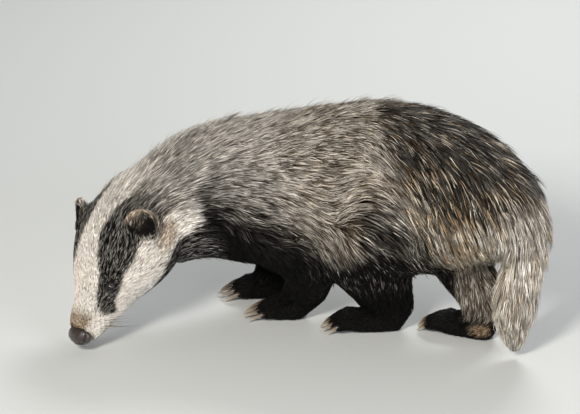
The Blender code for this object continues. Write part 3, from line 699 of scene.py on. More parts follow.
# In millimetres: how far the outer toes and the knuckles stand back, the heights of knuckle, tip and claw,
# how far a claw comes down, how thick it is at its root and how much of that it loses.
OUTER_BACK, KNUCKLE_BACK = 8, 11
KNUCKLE_UP, TIP_UP, CLAW_UP, CLAW_DROP = 13.5, 8, 10, 8
CLAW_THICK, CLAW_THINNER = 3.3, 2.8


def claw_paths(name):
    """For each of the five claws of a paw: centres from inside the toe to the point, and thicknesses."""
    heel_place, heading, (paw_length, paw_width, claw) = PAWS[name]
    turned = Matrix.Rotation(-math.radians(heading), 4, "Z") @ Matrix.Rotation(math.pi, 4, "Z")
    paw = Matrix.Translation(Vector((*heel_place, 0)) * MM + SHIFT) @ turned
    paths = []
    for toe in range(5):
        spread = (toe - 2) / 2
        reach = paw_length * TOE_REACH - OUTER_BACK * abs(spread) ** 1.6
        across = paw_width * TOE_FAN * spread
        knuckle = paw @ (Vector((reach - KNUCKLE_BACK, across * 1.05, KNUCKLE_UP)) * MM)
        tip = paw @ (Vector((reach, across * 1.12, TIP_UP)) * MM)
        ahead = ((tip - knuckle) * Vector((1, 1, 0))).normalized()
        centres, sizes = [], []
        for step in range(CLAW_STEPS):
            share = step / (CLAW_STEPS - 1)
            centre = tip + ahead * ((claw * share - 2) * MM)
            centre.z = (CLAW_UP - CLAW_DROP * share**1.8) * MM
            centres.append(centre)
            sizes.append((CLAW_THICK - CLAW_THINNER * share**1.6) * MM)
        paths.append((centres, sizes))
    return paths


ALL_CLAWS = {name: claw_paths(name) for name in PAWS}
FAR_OFF = 99.0  # millimetres, where a distance isn't measured
# The first two centres of a claw lie inside the toe.
claw_points = [c for paths in ALL_CLAWS.values() for centres, _ in paths for c in centres[2:]]
claw_tree = KDTree(len(claw_points))
for k, place in enumerate(claw_points):
    claw_tree.insert(place, k)
claw_tree.balance()
claw_distance = np.full(COUNT, FAR_OFF)
claw_middle = points.copy()
for k in np.flatnonzero(on_paws > 0.3):
    place, _, away = claw_tree.find(points[k])
    claw_distance[k] = away / MM
    claw_middle[k] = place
on_claws = 1 - ramp(claw_distance, 3.4, 4.4)
print("points on claws:", int(on_claws.sum()))

# %% Draw the skin in
FOLD_DEPTH = 4
CLAW_SHRINK = 0.75
LOWEST = 0.4 * MM

points = points - normals * (drawn_in * MM)[:, None] * (1 - on_claws)[:, None]
points = points - normals * (softened(flank_fold, 6) * FOLD_DEPTH * MM)[:, None]
points = points + (claw_middle - points) * (CLAW_SHRINK * on_claws)[:, None]
points[:, 2] = np.maximum(points[:, 2], LOWEST)
write_points(skin.data, points)
normals = read_normals(skin.data)
skin.data.shade_smooth()
print("skin box:", [round(v, 3) for v in (*points.min(axis=0), *points.max(axis=0))])

# %% An unwrap of the skin
for other in bpy.context.selected_objects:
    other.select_set(False)
bpy.context.view_layer.objects.active = skin
skin.select_set(True)
bpy.ops.object.mode_set(mode="EDIT")
bpy.ops.mesh.select_all(action="SELECT")
bpy.ops.uv.smart_project(angle_limit=math.radians(66), island_margin=0.002)
bpy.ops.object.mode_set(mode="OBJECT")
skin.data.calc_loop_triangles()
TRIANGLES = len(skin.data.loop_triangles)
corners = np.empty(TRIANGLES * 3, dtype=np.int32)
skin.data.loop_triangles.foreach_get("vertices", corners)
corners = corners.reshape(-1, 3)
loops = np.empty(TRIANGLES * 3, dtype=np.int32)
skin.data.loop_triangles.foreach_get("loops", loops)
flat = np.empty(len(skin.data.loops) * 2)
skin.data.uv_layers.active.data.foreach_get("uv", flat)
corner_uv = flat.reshape(-1, 2)[loops.reshape(-1, 3)]
print("skin of", TRIANGLES, "triangles unwrapped")

# %% [markdown]
# ## Roots of the tufts
# A tuft covers about half its length times its width, and a coat is a few such layers deep. That gives how
# many tufts each bit of skin needs. They are drawn at random over the triangles of the skin, always from
# the same seed, and none grow on the eyes, inside the nose, on the soles or on the claws.

# %% Scatter the roots
SEED = 5

rng = np.random.default_rng(SEED)

density = layers / (0.5 * width * length)
sole = ramp(-normals[:, 2], 0.5, 0.9) * (1 - ramp(points[:, 2], 0.004, 0.01))
nose_shape = bmesh.new()
nose_shape.from_mesh(bpy.data.objects["nose"].data)
nose_tree = BVHTree.FromBMesh(nose_shape)
nose_shape.free()
nose_gap = np.full(COUNT, FAR_OFF)
for k in np.flatnonzero((back < 24) & (on_head > 0.5)):
    place, normal, _, away = nose_tree.find_nearest(points[k])
    nose_gap[k] = math.copysign(away / MM, (Vector(points[k]) - place).dot(normal))
in_nose = 1 - ramp(nose_gap, 0.0, 0.5)
density *= (1 - sole) * (1 - in_nose) * ramp(eye_distance, 6.6, 7.6) * (1 - on_claws)

corner_points = points[corners]
first_edge = corner_points[:, 1] - corner_points[:, 0]
second_edge = corner_points[:, 2] - corner_points[:, 0]
triangle_area = np.linalg.norm(np.cross(first_edge, second_edge), axis=1) / 2
wanted = triangle_area / MM**2 * density[corners].mean(axis=1)
TUFTS = int(wanted.sum())
chosen = rng.choice(TRIANGLES, size=TUFTS, p=wanted / wanted.sum())
chosen.sort()
first, second = rng.random((2, TUFTS))
past_edge = first + second > 1
first, second = np.where(past_edge, 1 - first, first), np.where(past_edge, 1 - second, second)
weight = np.stack((1 - first - second, first, second), axis=1)


def at_roots(values):
    """Values of the skin's points, mixed at the roots of the tufts."""
    picked = values[corners[chosen]]
    return np.einsum("ij,ij...->i...", weight, picked)


root = at_roots(points)
root_uv = np.einsum("ij,ijk->ik", weight, corner_uv[chosen])
print(TUFTS, "tufts, on the head", int(at_roots(on_head).sum()))

# %% [markdown]
# ## Paths of the tufts
# Each tuft starts just under the skin and takes a few steps along the lie. After each step its point is set
# to a height over the nearest skin, so that a tuft follows the body round its curves. A few of the longer
# tufts are strays: thinner, and standing off the coat.

# %% Walk along the lie
skin_tree = KDTree(COUNT)
for k, place in enumerate(points):
    skin_tree.insert(place, k)
skin_tree.balance()
STEPS = (0.0, 0.33, 0.68, 1.0)
SWAY = 0.13
STRAYS = 0.1
ROOT_DEPTH = 0.7

tuft_length = at_roots(length) * rng.uniform(0.8, 1.2, TUFTS) * MM
tuft_width = at_roots(width) * rng.uniform(0.8, 1.15, TUFTS) * MM
tip_height = at_roots(coat_depth) * rng.uniform(0.72, 1.12, TUFTS) * MM
looseness = 1 + 0.9 * at_roots(on_ears) - 0.4 * at_roots(on_head * (1 - on_ears))
sway = rng.normal(0, SWAY, TUFTS) * looseness
stray = rng.random(TUFTS) < STRAYS * ramp(tuft_length / MM, 12, 25)
tip_height = tip_height * np.where(stray, rng.uniform(1.15, 1.75, TUFTS), 1.0)
tuft_width = tuft_width * np.where(stray, 0.5, 1.0)

# On the body a tuft rises from the softened form of the skin, on the ears and paws from the skin itself.
exact = np.clip(on_ears + on_paws, 0, 1)[:, None]
eased = (1 - on_ears - on_paws * (1 - on_ears))[:, None]
even_normals = unit(softened(normals, 14) * eased + normals * exact)
stations = [root - at_roots(normals) * ROOT_DEPTH * MM]
station_normals = [unit(at_roots(even_normals))]
direction = at_roots(lie)
for k in range(1, len(STEPS)):
    normal = station_normals[-1]
    swayed = unit(direction + np.cross(normal, direction) * sway[:, None])
    place = stations[-1] + swayed * (tuft_length * (STEPS[k] - STEPS[k - 1]))[:, None]
    near = np.array([skin_tree.find(p)[1] for p in place])
    normal = even_normals[near]
    over = np.sum((place - points[near]) * normal, axis=1)
    wished = tip_height * (1 - (1 - STEPS[k]) ** 1.6)
    place = place + normal * (wished - over)[:, None]
    stations.append(place)
    station_normals.append(normal)
    direction = lie[near]
print("tufts reach", round(stations[-1][:, 2].max(), 4), "m high")

# %% [markdown]
# Hair also gathers in locks: each tuft leans towards the path of a leader near it, strongly on the rump and
# hardly on the face. The tufts of the tail are drawn towards its middle as well, each by its own amount, so
# that the tail narrows downward and ends in ragged points.

# %% Gather them in locks
TUFTS_PER_LOCK = 11
GATHERED = (0.0, 0.35, 0.8, 1.0)  # at each of the steps
LOWEST_HAIR = 0.8 * MM


def nearest_of(chosen_tufts):
    """For each tuft, the nearest of the chosen ones."""
    tree = KDTree(len(chosen_tufts))
    for k in chosen_tufts:
        tree.insert(root[k], int(k))
    tree.balance()
    return np.array([tree.find(p)[1] for p in root])


leaders = rng.choice(TUFTS, size=TUFTS // TUFTS_PER_LOCK, replace=False)
leader = nearest_of(leaders)
gather = np.interp(tuft_length / MM, (6, 12, 25, 45), (0.0, 0.2, 0.42, 0.62))
gather = gather * rng.uniform(0.6, 1.25, TUFTS)
apart = np.linalg.norm(root - root[leader], axis=1) / np.maximum(tuft_length, 1e-4)
gather = gather * (1 - ramp(apart, 0.45, 0.9)) * (1 - 0.45 * at_roots(on_head))
for k in range(1, len(STEPS)):
    pull = (gather * GATHERED[k])[:, None]
    stations[k] = stations[k] + pull * (stations[k][leader] - stations[k])
print("locks:", len(leaders))

# %% Narrow the tail
TAIL_SLICES = 9
SLICE_REACH = 0.012

tail_tuft = at_roots(on_tail)
tail_points = points[on_tail > 0.5]
ragged = rng.uniform(0.1, 0.85, TUFTS)
slices = np.linspace(tail_points[:, 2].min(), tail_points[:, 2].max(), TAIL_SLICES)
in_slices = [np.abs(tail_points[:, 2] - z) < SLICE_REACH for z in slices]
axis = np.array([tail_points[inside, :2].mean(axis=0) for inside in in_slices])
for k in range(1, len(STEPS)):
    z = stations[k][:, 2]
    core = np.stack([np.interp(z, slices, axis[:, j]) for j in range(2)], axis=1)
    narrow = tail_tuft * ragged * (1 - ramp(z, 0.0, 0.05))
    stations[k][:, :2] += narrow[:, None] * (core - stations[k][:, :2])
    stations[k][:, 2] = np.maximum(z, LOWEST_HAIR)
print("tufts on the tail:", int(tail_tuft.sum()))

# %% A tone for each tuft
tone = rng.random(TUFTS)
leader_tone = tone[leader]
tone = np.clip(0.5 + (tone - 0.5) * 0.9 + (leader_tone - 0.5) * gather * 1.2, 0, 1)
print("tones from", round(float(tone.min()), 2), "to", round(float(tone.max()), 2))

# %% [markdown]
# ## Meshes of the tufts
# A tuft is a closed three-sided blade: two or three rings of three points and one tip. A long one is widest
# at a third of its length and a short one at two thirds. The rings are worked out for all the tufts of a
# piece together, because an operator for each of a hundred thousand blades would take far too long.


def add_piece(name, mesh, material):
    """Stand a finished mesh in the scene as a smooth piece of the part."""
    mesh.shade_smooth()
    mesh.materials.append(material)
    piece = bpy.data.objects.new(name, mesh)
    bpy.context.collection.objects.link(piece)
    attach(piece, "root")
    print(name, len(mesh.polygons), "faces")
    return piece


def finish_piece(name, shape, material):
    """Turn a bmesh into a smooth piece of the part."""
    bmesh.ops.recalc_face_normals(shape, faces=shape.faces)
    mesh = bpy.data.meshes.new(name)
    shape.to_mesh(mesh)
    shape.free()
    return add_piece(name, mesh, material)


# %% Make a piece of coat
RING = 3
# Widths of the rings of a tuft with four stations and with three, and how far a blade's ridge rises and its
# edges sink, all as shares of its half width.
BLADE = {4: (0.75, 1.0, 0.62), 3: (0.85, 0.95)}
RIDGE, EDGES = 0.6, 0.25
PATCH = 0.003  # side of a tuft's patch on the unwrap


def blade_faces(rings):
    """The triangles of one closed blade with its tip last."""
    faces = [(0, 2, 1)]
    for r in range(rings - 1):
        for k in range(RING):
            a, b = r * RING + k, r * RING + (k + 1) % RING
            faces += [(a, b, b + RING), (a, b + RING, a + RING)]
    last = (rings - 1) * RING
    faces += [(last + k, last + (k + 1) % RING, rings * RING) for k in range(RING)]
    return np.array(faces)


def coat_piece(name, inside, picked):
    """One mesh of the tufts that are inside, whose rings stand at the picked stations."""
    members = np.flatnonzero(inside)
    amount = len(members)
    path = np.stack([stations[k][members] for k in picked], axis=1)
    up = np.stack([station_normals[k][members] for k in picked], axis=1)
    ahead = unit(np.diff(path, axis=1))
    rings = len(picked) - 1
    blade = BLADE[len(picked)]
    size = rings * RING + 1
    places = np.empty((amount, size, 3))
    strand = np.zeros((amount, size, 4))
    half = tuft_width[members] / 2
    for r in range(rings):
        across = unit(np.cross(up[:, r], ahead[:, r]))
        thick = np.cross(ahead[:, r], across)
        spread = (half * blade[r])[:, None]
        places[:, r * RING] = path[:, r] + across * spread - thick * spread * EDGES
        places[:, r * RING + 1] = path[:, r] + thick * spread * RIDGE
        places[:, r * RING + 2] = path[:, r] - across * spread - thick * spread * EDGES
        strand[:, r * RING : (r + 1) * RING, 0] = STEPS[picked[r]]
        strand[:, r * RING : (r + 1) * RING, 2] = (0.0, 0.5, 1.0)
    places[:, -1] = path[:, -1]
    strand[:, -1, 0] = 1.0
    strand[:, -1, 2] = 0.5
    strand[:, :, 1] = tone[members][:, None]
    strand[:, :, 3] = tuft_tan[members][:, None]
    kinds = np.repeat(tuft_kind[members][:, None, :], size, axis=1)
    faces = (blade_faces(rings)[None] + (np.arange(amount) * size)[:, None, None]).reshape(-1)

    mesh = bpy.data.meshes.new(name)
    mesh.vertices.add(amount * size)
    mesh.vertices.foreach_set("co", places.astype(np.float32).ravel())
    mesh.loops.add(len(faces))
    mesh.loops.foreach_set("vertex_index", faces.astype(np.int32))
    mesh.polygons.add(len(faces) // 3)
    mesh.polygons.foreach_set("loop_start", np.arange(0, len(faces), 3, dtype=np.int32))
    mesh.update()
    for label, values in (("kind", kinds), ("strand", strand)):
        layer = mesh.attributes.new(label, "FLOAT_COLOR", "POINT")
        layer.data.foreach_set("color", values.astype(np.float32).ravel())
    patch = (strand[:, :, [2, 0]] - 0.5) * PATCH + root_uv[members][:, None, :]
    uv = mesh.uv_layers.new(name="OFBake")
    uv.data.foreach_set("uv", patch.reshape(-1, 2)[faces].astype(np.float32).ravel())
    add_piece(name, mesh, coat_material)
    return len(faces) // 3


print("one blade has", len(blade_faces(3)), "or", len(blade_faces(2)), "triangles")

# %% [markdown]
# ## A kind of hair for each tuft
# A tuft takes the shares of the kinds from the skin at its root. Part of the tufts then change to another
# kind by chance: the hair of the rump is pale low on the thigh and dark on top, and single dark tufts stand
# in white fur and pale ones in black. Neighbours often share their chance, by lock or by small clump.

# %% Choose the kinds
TUFTS_PER_CLUMP = 4
BY_LOCK, BY_CLUMP = 0.24, 0.76  # a draw below the first goes by lock, one below the second by clump
CHANCE_LEVELS = (-0.2, 0.3, 0.65, 0.95)

tuft_kind = at_roots(np.stack((white, black, cream, rump), axis=1))
undecided = (tuft_kind > 0.02) & (tuft_kind < 0.98)
spread_kind = rng.normal(0, 0.1, (TUFTS, 1)) * np.sign(tuft_kind - 0.5) * undecided
tuft_kind = np.clip(tuft_kind + spread_kind, 0, 1)
tuft_tan = at_roots(tan)
own = rng.random(TUFTS)
small_leader = nearest_of(rng.choice(TUFTS, size=TUFTS // TUFTS_PER_CLUMP, replace=False))
luck = rng.random(TUFTS)
shared = np.where(luck < BY_LOCK, own[leader], np.where(luck < BY_CLUMP, own[small_leader], own))
root_level = at_roots(level)
pale_chance = np.interp(root_level, CHANCE_LEVELS, (0.56, 0.46, 0.17, 0.02))
dark_chance = np.interp(root_level, CHANCE_LEVELS, (0.2, 0.36, 0.68, 0.94))
head_tuft = at_roots(on_head * (1 - on_ears))
tail_tuft_white = at_roots(tail_white)
bare_tuft = at_roots(bare)
thigh = ramp(root[:, 2], 0.05, 0.11) * ramp(root[:, 0], -0.02, 0.04)

# Kind that gives, kind that takes, and the share of each tuft that changes; None turns it to grey.
WHITE, BLACK, CREAM, RUMP = range(4)
some_cream = tuft_kind[:, CREAM] > 0.3
CHANGES = (
    (RUMP, CREAM, 0.92 * (shared < pale_chance)),
    (RUMP, BLACK, 0.85 * (shared > 1 - dark_chance)),
    (CREAM, RUMP, 0.9 * (shared > 0.7) * some_cream),
    (CREAM, WHITE, 0.7 * (shared < 0.18) * some_cream),
    (WHITE, BLACK, 0.8 * head_tuft * (own > 0.965)),
    (WHITE, CREAM, 0.7 * tail_tuft_white * (shared > 0.6)),
    (WHITE, RUMP, 0.7 * tail_tuft_white * (shared < 0.12)),
    (BLACK, WHITE, 0.2 * head_tuft * (own < 0.4)),
    (BLACK, None, 0.8 * (1 - head_tuft) * (own < 0.2) * thigh),
    (WHITE, BLACK, 0.9 * bare_tuft * (shared < 0.45)),
    (WHITE, None, bare_tuft * (shared > 0.75)),
)
for giver, taker, share in CHANGES:
    moved = tuft_kind[:, giver] * share
    tuft_kind[:, giver] -= moved
    if taker is not None:
        tuft_kind[:, taker] += moved
print("mean shares of white, black, cream and rump:", tuft_kind.mean(axis=0).round(3))

# %% [markdown]
# ## Badger hair
# A guard hair is keratin with a soft gloss. On the back each one is pale at the root, dark in the middle
# and pale at the tip, which makes the grizzled grey. A colour ramp runs along the strand for each kind of
# hair, a random tone shifts the bands from tuft to tuft, and fine streaks break each tuft into hairs. The
# skin takes the same colours as the short underfur, in a darker tone that is painted shade deep in the coat.

# %% Colours along a hair
# For each kind of hair, colours and how far along the hair from its root they stand.
HAIR_BANDS = {
    "grey": (("5C554C", 0.0), ("3E3933", 0.25), ("191614", 0.42), ("7C756A", 0.68), ("DDD5C8", 1.0)),
    "white": (("A89E91", 0.0), ("DAD2C6", 0.45), ("F7F2EA", 1.0)),
    "black": (("171412", 0.0), ("0A0909", 0.5), ("070707", 0.85), ("161514", 1.0)),
    "cream": (("7D674E", 0.0), ("B89D79", 0.45), ("E9DBC2", 1.0)),
    "rump": (("6A543B", 0.0), ("57412B", 0.3), ("22180F", 0.5), ("0F0C09", 0.82), ("6A5D4A", 1.0)),
    "tan": (("6A4F35", 0.0), ("9A7A56", 0.5), ("CDB595", 1.0)),
}
TONE_SHIFT = 0.95
STREAK_STRETCH = (5.0, 1.2, 90.0)  # round a tuft, along it and from tuft to tuft
STREAK_LIGHT = (0.64, 1.28)
TUFT_LIGHT = (0.5, 1.4)
WHITE_CALM = 0.55


def colour_bands(tree, bands, place):
    """The colour at a place from 0 to 1 among bands, which are hex colours with their positions."""
    node = add_node(tree, "ShaderNodeValToRGB", {"Fac": place})
    elements = node.color_ramp.elements
    while len(elements) < len(bands):
        elements.new(0.5)
    for element, (code, position) in zip(elements, bands):
        element.position = position
        element.color = colour(code)
    return node.outputs["Color"]


def add_bump(tree, shader, height, strength, depth, **settings):
    """Relief of a depth in millimetres on a material."""
    inputs = {"Height": height, "Strength": strength, "Distance": depth * MM}
    bump = add_node(tree, "ShaderNodeBump", inputs, **settings)
    tree.links.new(bump.outputs[0], shader.inputs["Normal"])


def hair_colour(tree, shade):
    """Nodes that give the colour of hair from the attributes kind and strand, and the streaks in it."""
    kind = add_node(tree, "ShaderNodeAttribute", attribute_name="kind")
    shares = add_node(tree, "ShaderNodeSeparateColor", {"Color": kind.outputs["Color"]})
    strand = add_node(tree, "ShaderNodeAttribute", attribute_name="strand")
    parts = add_node(tree, "ShaderNodeSeparateColor", {"Color": strand.outputs["Color"]})
    along, tone_out, around = (parts.outputs[k] for k in ("Red", "Green", "Blue"))

    shift = add_node(tree, "ShaderNodeMath", {0: tone_out, 1: TONE_SHIFT, 2: -TONE_SHIFT / 2},
                     operation="MULTIPLY_ADD")
    place = add_node(tree, "ShaderNodeMath", {0: along, 1: shift.outputs[0]}, operation="ADD", use_clamp=True)
    mixed = colour_bands(tree, HAIR_BANDS["grey"], place.outputs[0])
    for name, share in (("rump", kind.outputs["Alpha"]), ("cream", shares.outputs["Blue"]),
                        ("black", shares.outputs["Green"]), ("white", shares.outputs["Red"]),
                        ("tan", strand.outputs["Alpha"])):
        bands = colour_bands(tree, HAIR_BANDS[name], place.outputs[0])
        mix = add_node(tree, "ShaderNodeMix", {"Factor": share, 6: mixed, 7: bands}, data_type="RGBA")
        mixed = mix.outputs[2]

    streak_place = add_node(tree, "ShaderNodeCombineXYZ", {"X": around, "Y": along, "Z": tone_out})
    stretched = add_node(tree, "ShaderNodeVectorMath", {0: streak_place.outputs[0], 1: STREAK_STRETCH},
                         operation="MULTIPLY")
    streaks = add_node(tree, "ShaderNodeTexNoise",
                       {"Vector": stretched.outputs[0], "Scale": 1.0, "Detail": 2.0})
    value = add_node(tree, "ShaderNodeMapRange",
                     {"Value": streaks.outputs[0], "From Min": 0.3, "From Max": 0.7,
                      "To Min": shade * STREAK_LIGHT[0], "To Max": shade * STREAK_LIGHT[1]})
    chance = add_node(tree, "ShaderNodeTexWhiteNoise", {"W": tone_out}, noise_dimensions="1D")
    lightness = add_node(tree, "ShaderNodeMapRange",
                         {"Value": chance.outputs["Value"], "To Min": TUFT_LIGHT[0], "To Max": TUFT_LIGHT[1]})
    calm = add_node(tree, "ShaderNodeMath", {0: shares.outputs["Red"], 1: WHITE_CALM}, operation="MULTIPLY")
    evened = add_node(tree, "ShaderNodeMix", {"Factor": calm.outputs[0], 2: lightness.outputs[0], 3: 1.0},
                      data_type="FLOAT")
    both = add_node(tree, "ShaderNodeMath", {0: value.outputs[0], 1: evened.outputs[0]}, operation="MULTIPLY")
    tinted = add_node(tree, "ShaderNodeVectorMath", {0: mixed, "Scale": both.outputs[0]}, operation="SCALE")
    return tinted.outputs[0], streaks.outputs[0]


print("kinds of hair:", ", ".join(HAIR_BANDS))

# %% Materials of coat and skin
UNDERFUR_GRAIN = 1.2  # millimetres across one clump of underfur
# How much darker the underfur is than the hair: painted shade deep in the coat.
UNDERFUR_PAINTED_SHADE = 0.5

# Guard hair gives the coat its banded, streaky look, with a weak gloss along each tuft.
coat_material, tree, shader = new_material("badger_guard_hair", 0.52, Specular_IOR_Level=0.1)
hair, streaks = hair_colour(tree, 1.0)
tree.links.new(hair, shader.inputs["Base Color"])
add_bump(tree, shader, streaks, 0.3, 0.3)

# Underfur is a dull ground of the same colours, painted darker as painted shade deep between the tufts.
skin_material, tree, shader = new_material("underfur_and_painted_shade", 0.85, Specular_IOR_Level=0.1)
hair, _ = hair_colour(tree, UNDERFUR_PAINTED_SHADE)
tree.links.new(hair, shader.inputs["Base Color"])
place = add_node(tree, "ShaderNodeTexCoord").outputs["Object"]
grain = add_node(tree, "ShaderNodeTexNoise",
                 {"Vector": place, "Scale": 1 / (UNDERFUR_GRAIN * MM), "Detail": 3.0})
add_bump(tree, shader, grain.outputs[0], 0.6, 0.8)
print("materials:", coat_material.name, skin_material.name)

# %% Lay the coat
LONG, SHORT = (0, 1, 2, 3), (0, 2, 3)  # stations of the long and of the short tufts
FRONT_LEGS_END = 0.02
TORSO_PIECES = 5

at_head, at_neck, at_tail, at_paws, at_legs, at_ears = (
    at_roots(v) > 0.5 for v in (on_head, on_neck, on_tail, on_paws, on_legs, on_ears)
)
at_left = at_roots(side) < MIDLINE
at_front = root[:, 0] < FRONT_LEGS_END
coat = {
    "ears_coat": (at_ears, SHORT),
    "head_coat_left": (at_head & ~at_ears & at_left, SHORT),
    "head_coat_right": (at_head & ~at_ears & ~at_left, SHORT),
    "neck_coat": (at_neck & ~at_head, LONG),
    "tail_coat": (at_tail, LONG),
    "paws_coat": (at_paws, SHORT),
    "legs_coat_front": (at_legs & ~at_paws & at_front, LONG),
    "legs_coat_hind": (at_legs & ~at_paws & ~at_front, LONG),
}
on_trunk = ~(at_head | at_neck | at_tail | at_paws | at_legs | at_ears)
root_station = at_roots(station)
bounds = np.quantile(root_station[on_trunk], np.arange(TORSO_PIECES + 1) / TORSO_PIECES)
for k in range(TORSO_PIECES):
    inside = on_trunk & (root_station > bounds[k] - (k == 0)) & (root_station <= bounds[k + 1])
    coat[f"torso_coat_{k + 1}"] = (inside, LONG)
total = sum(coat_piece(name, inside, picked) for name, (inside, picked) in coat.items())
print("coat of", total, "triangles")

# %% [markdown]
# ## Eyes and lids
# The eye of a badger is a small dark bead, sunk in the black stripe. The ball gets a slight bulge for the
# cornea and a wet gloss. The lids are one ring that hugs the ball, rolls over a soft rim and dives under
# the hair, where a band closes it from behind. Its opening is drawn out to a corner at both ends.

# %% Materials of the eye and the lids
LID_GRAIN = 0.7  # millimetres between the fine creases of the lids
EYE_BANDS = (("020203", 0.30), ("140B06", 0.36), ("080504", 0.62))
LID_BANDS = (("0B0908", 0.25), ("2E2723", 0.52), ("100E0D", 0.72))

# The wet cornea gives the one bright glint of the face, over a black pupil and a brown iris.
eye_material, tree, shader = new_material("wet_cornea", 0.05, Specular_IOR_Level=0.32, Coat_Weight=0.15,
                                          Coat_Roughness=0.03)
place = add_node(tree, "ShaderNodeAttribute", attribute_name="from_pupil")
tree.links.new(colour_bands(tree, EYE_BANDS, place.outputs["Fac"]), shader.inputs["Base Color"])

# Bare lid skin gives a soft, slightly paler rim, which sets the eye off from the black fur.
lid_material, tree, shader = new_material("bare_eyelid_skin", 0.42, Specular_IOR_Level=0.45)
rim = add_node(tree, "ShaderNodeAttribute", attribute_name="from_opening")
tree.links.new(colour_bands(tree, LID_BANDS, rim.outputs["Fac"]), shader.inputs["Base Color"])
place = add_node(tree, "ShaderNodeTexCoord").outputs["Object"]
creases = add_node(tree, "ShaderNodeTexNoise", {"Vector": place, "Scale": 1 / (LID_GRAIN * MM)})
add_bump(tree, shader, creases.outputs[0], 0.5, 0.2)
print("materials:", eye_material.name, lid_material.name)

# %% Eyes and lids
EYE_RADIUS = 6.2 * MM
CORNEA_REACH = 0.6  # of the radius
CORNEA_BULGE = 0.5 * MM
SOCKET_REACH = 13 * MM
CORNER_PINCH = 0.24
# Rings of the lid from inside the opening outwards: half length, half height and distance from the ball, or
# height over the middle of the eye for the rings that lie on the face, all in millimetres.
LID_RINGS = ((3.9, 2.9, 0.1, 0), (4.2, 3.2, 0.4, 0), (4.6, 3.6, 0.75, 0), (5.1, 4.1, 0.55, 0),
             (6.0, 5.2, 0, 3.5), (7.6, 6.8, 0, 1.2))


def eye_frame(centre):
    """Axes of an eye: forward along the face, up its side and out of the head."""
    near = np.linalg.norm(points - np.array(centre), axis=1) < SOCKET_REACH
    out = Vector(normals[near].mean(axis=0)).normalized()
    forward = (turn @ Vector((-1, 0, 0.1))).normalized()
    up = forward.cross(out).normalized()
    if up.z < 0:
        up = -up
    forward = up.cross(out).normalized()
    return Matrix.Translation(centre) @ Matrix((forward, up, out)).transposed().to_4x4()


def make_eye(name, frame_of_eye):
    shape = bmesh.new()
    bmesh.ops.create_uvsphere(shape, u_segments=36, v_segments=24, radius=EYE_RADIUS)
    layer = shape.verts.layers.float.new("from_pupil")
    for vertex in shape.verts:
        away = math.hypot(vertex.co.x, vertex.co.y) / EYE_RADIUS
        vertex[layer] = away if vertex.co.z > 0 else 1.0
        if vertex.co.z > 0 and away < CORNEA_REACH:
            vertex.co.z += CORNEA_BULGE * math.cos(away / CORNEA_REACH * math.pi / 2)
    bmesh.ops.transform(shape, matrix=frame_of_eye, verts=shape.verts)
    piece = finish_piece(name, shape, eye_material)
    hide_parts(name.replace("eyeball", "eye"))


def make_lids(name, frame_of_eye):
    shape = bmesh.new()
    layer = shape.verts.layers.float.new("from_opening")
    bmesh.ops.create_circle(shape, segments=40, radius=1.0)
    ring_verts, ring_edges = list(shape.verts), list(shape.edges)
    for k, (half_length, half_height, off_ball, rise_over) in enumerate(LID_RINGS):
        if k:
            grown = bmesh.ops.extrude_edge_only(shape, edges=ring_edges)["geom"]
            ring_edges = [g for g in grown if isinstance(g, bmesh.types.BMEdge) and g.is_boundary]
            ring_verts = [g for g in grown if isinstance(g, bmesh.types.BMVert)]
        for vertex in ring_verts:
            vertex[layer] = k / (len(LID_RINGS) - 1)
            angle = math.atan2(vertex.co.y, vertex.co.x)
            corner = 1 - CORNER_PINCH * math.cos(angle) ** 4 * (off_ball > 0)
            x = math.cos(angle) * half_length
            y = math.sin(angle) * half_height * corner
            z = rise_over
            if off_ball:
                reach = EYE_RADIUS / MM + off_ball
                z = math.sqrt(max(reach**2 - x * x - y * y, 0))
            vertex.co = Vector((x, y, z)) * MM
    rims = [edge for edge in shape.edges if edge.is_boundary]
    for edge in rims:
        edge.smooth = False
    bmesh.ops.bridge_loops(shape, edges=rims)
    bmesh.ops.transform(shape, matrix=frame_of_eye, verts=shape.verts)
    finish_piece(name, shape, lid_material)


for eye_side in ("left", "right"):
    low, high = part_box("eye_" + eye_side)
    at_eye = eye_frame((low + high) / 2)
    make_eye("eyeball_" + eye_side, at_eye)
    make_lids("eyelids_" + eye_side, at_eye)

# %% [markdown]
# ## Nose, lips and claws
# The nose is bare leathery skin, brown, cobbled by small bumps and kept wet. The solid has its shape with
# both nostrils, so a copy is remeshed finely and rounded. The slit that runs from each nostril round the
# side of the pad and the groove under its middle are pressed in afterwards; nostrils and slits get painted
# shade, near black. The lips show as a dark line along the jaw, and each claw is swept from a disc that is
# pushed out and shrunk step by step.

# %% Material of the nose
NOSE_BUMP = 0.9  # millimetres across one cobble
NOSE_PATCH = 9  # millimetres across one paler patch
NOSE_BANDS = (("120C0A", 0.35), ("3B2C24", 0.65))

# Wet leather gives a broad broken gloss on brown skin. The nostrils and the slits from them are painted near
# black, as painted shade in these hollows.
nose_material, tree, shader = new_material("wet_nose_leather", 0.38, Specular_IOR_Level=0.5, Coat_Weight=0.5,
                                           Coat_Roughness=0.14)
place = add_node(tree, "ShaderNodeTexCoord").outputs["Object"]
cobbles = add_node(tree, "ShaderNodeTexVoronoi", {"Vector": place, "Scale": 1 / (NOSE_BUMP * MM)})
patches = add_node(tree, "ShaderNodeTexNoise",
                   {"Vector": place, "Scale": 1 / (NOSE_PATCH * MM), "Detail": 3.0})
tones = colour_bands(tree, NOSE_BANDS, patches.outputs[0])
inside = add_node(tree, "ShaderNodeAttribute", attribute_name="nostril_painted_shade")
darkened = add_node(tree, "ShaderNodeMix", {"Factor": inside.outputs["Fac"], 6: tones, 7: colour("020101")},
                    data_type="RGBA")
tree.links.new(darkened.outputs[2], shader.inputs["Base Color"])
add_bump(tree, shader, cobbles.outputs["Distance"], 0.7, 0.35, invert=True)
print("material:", nose_material.name)

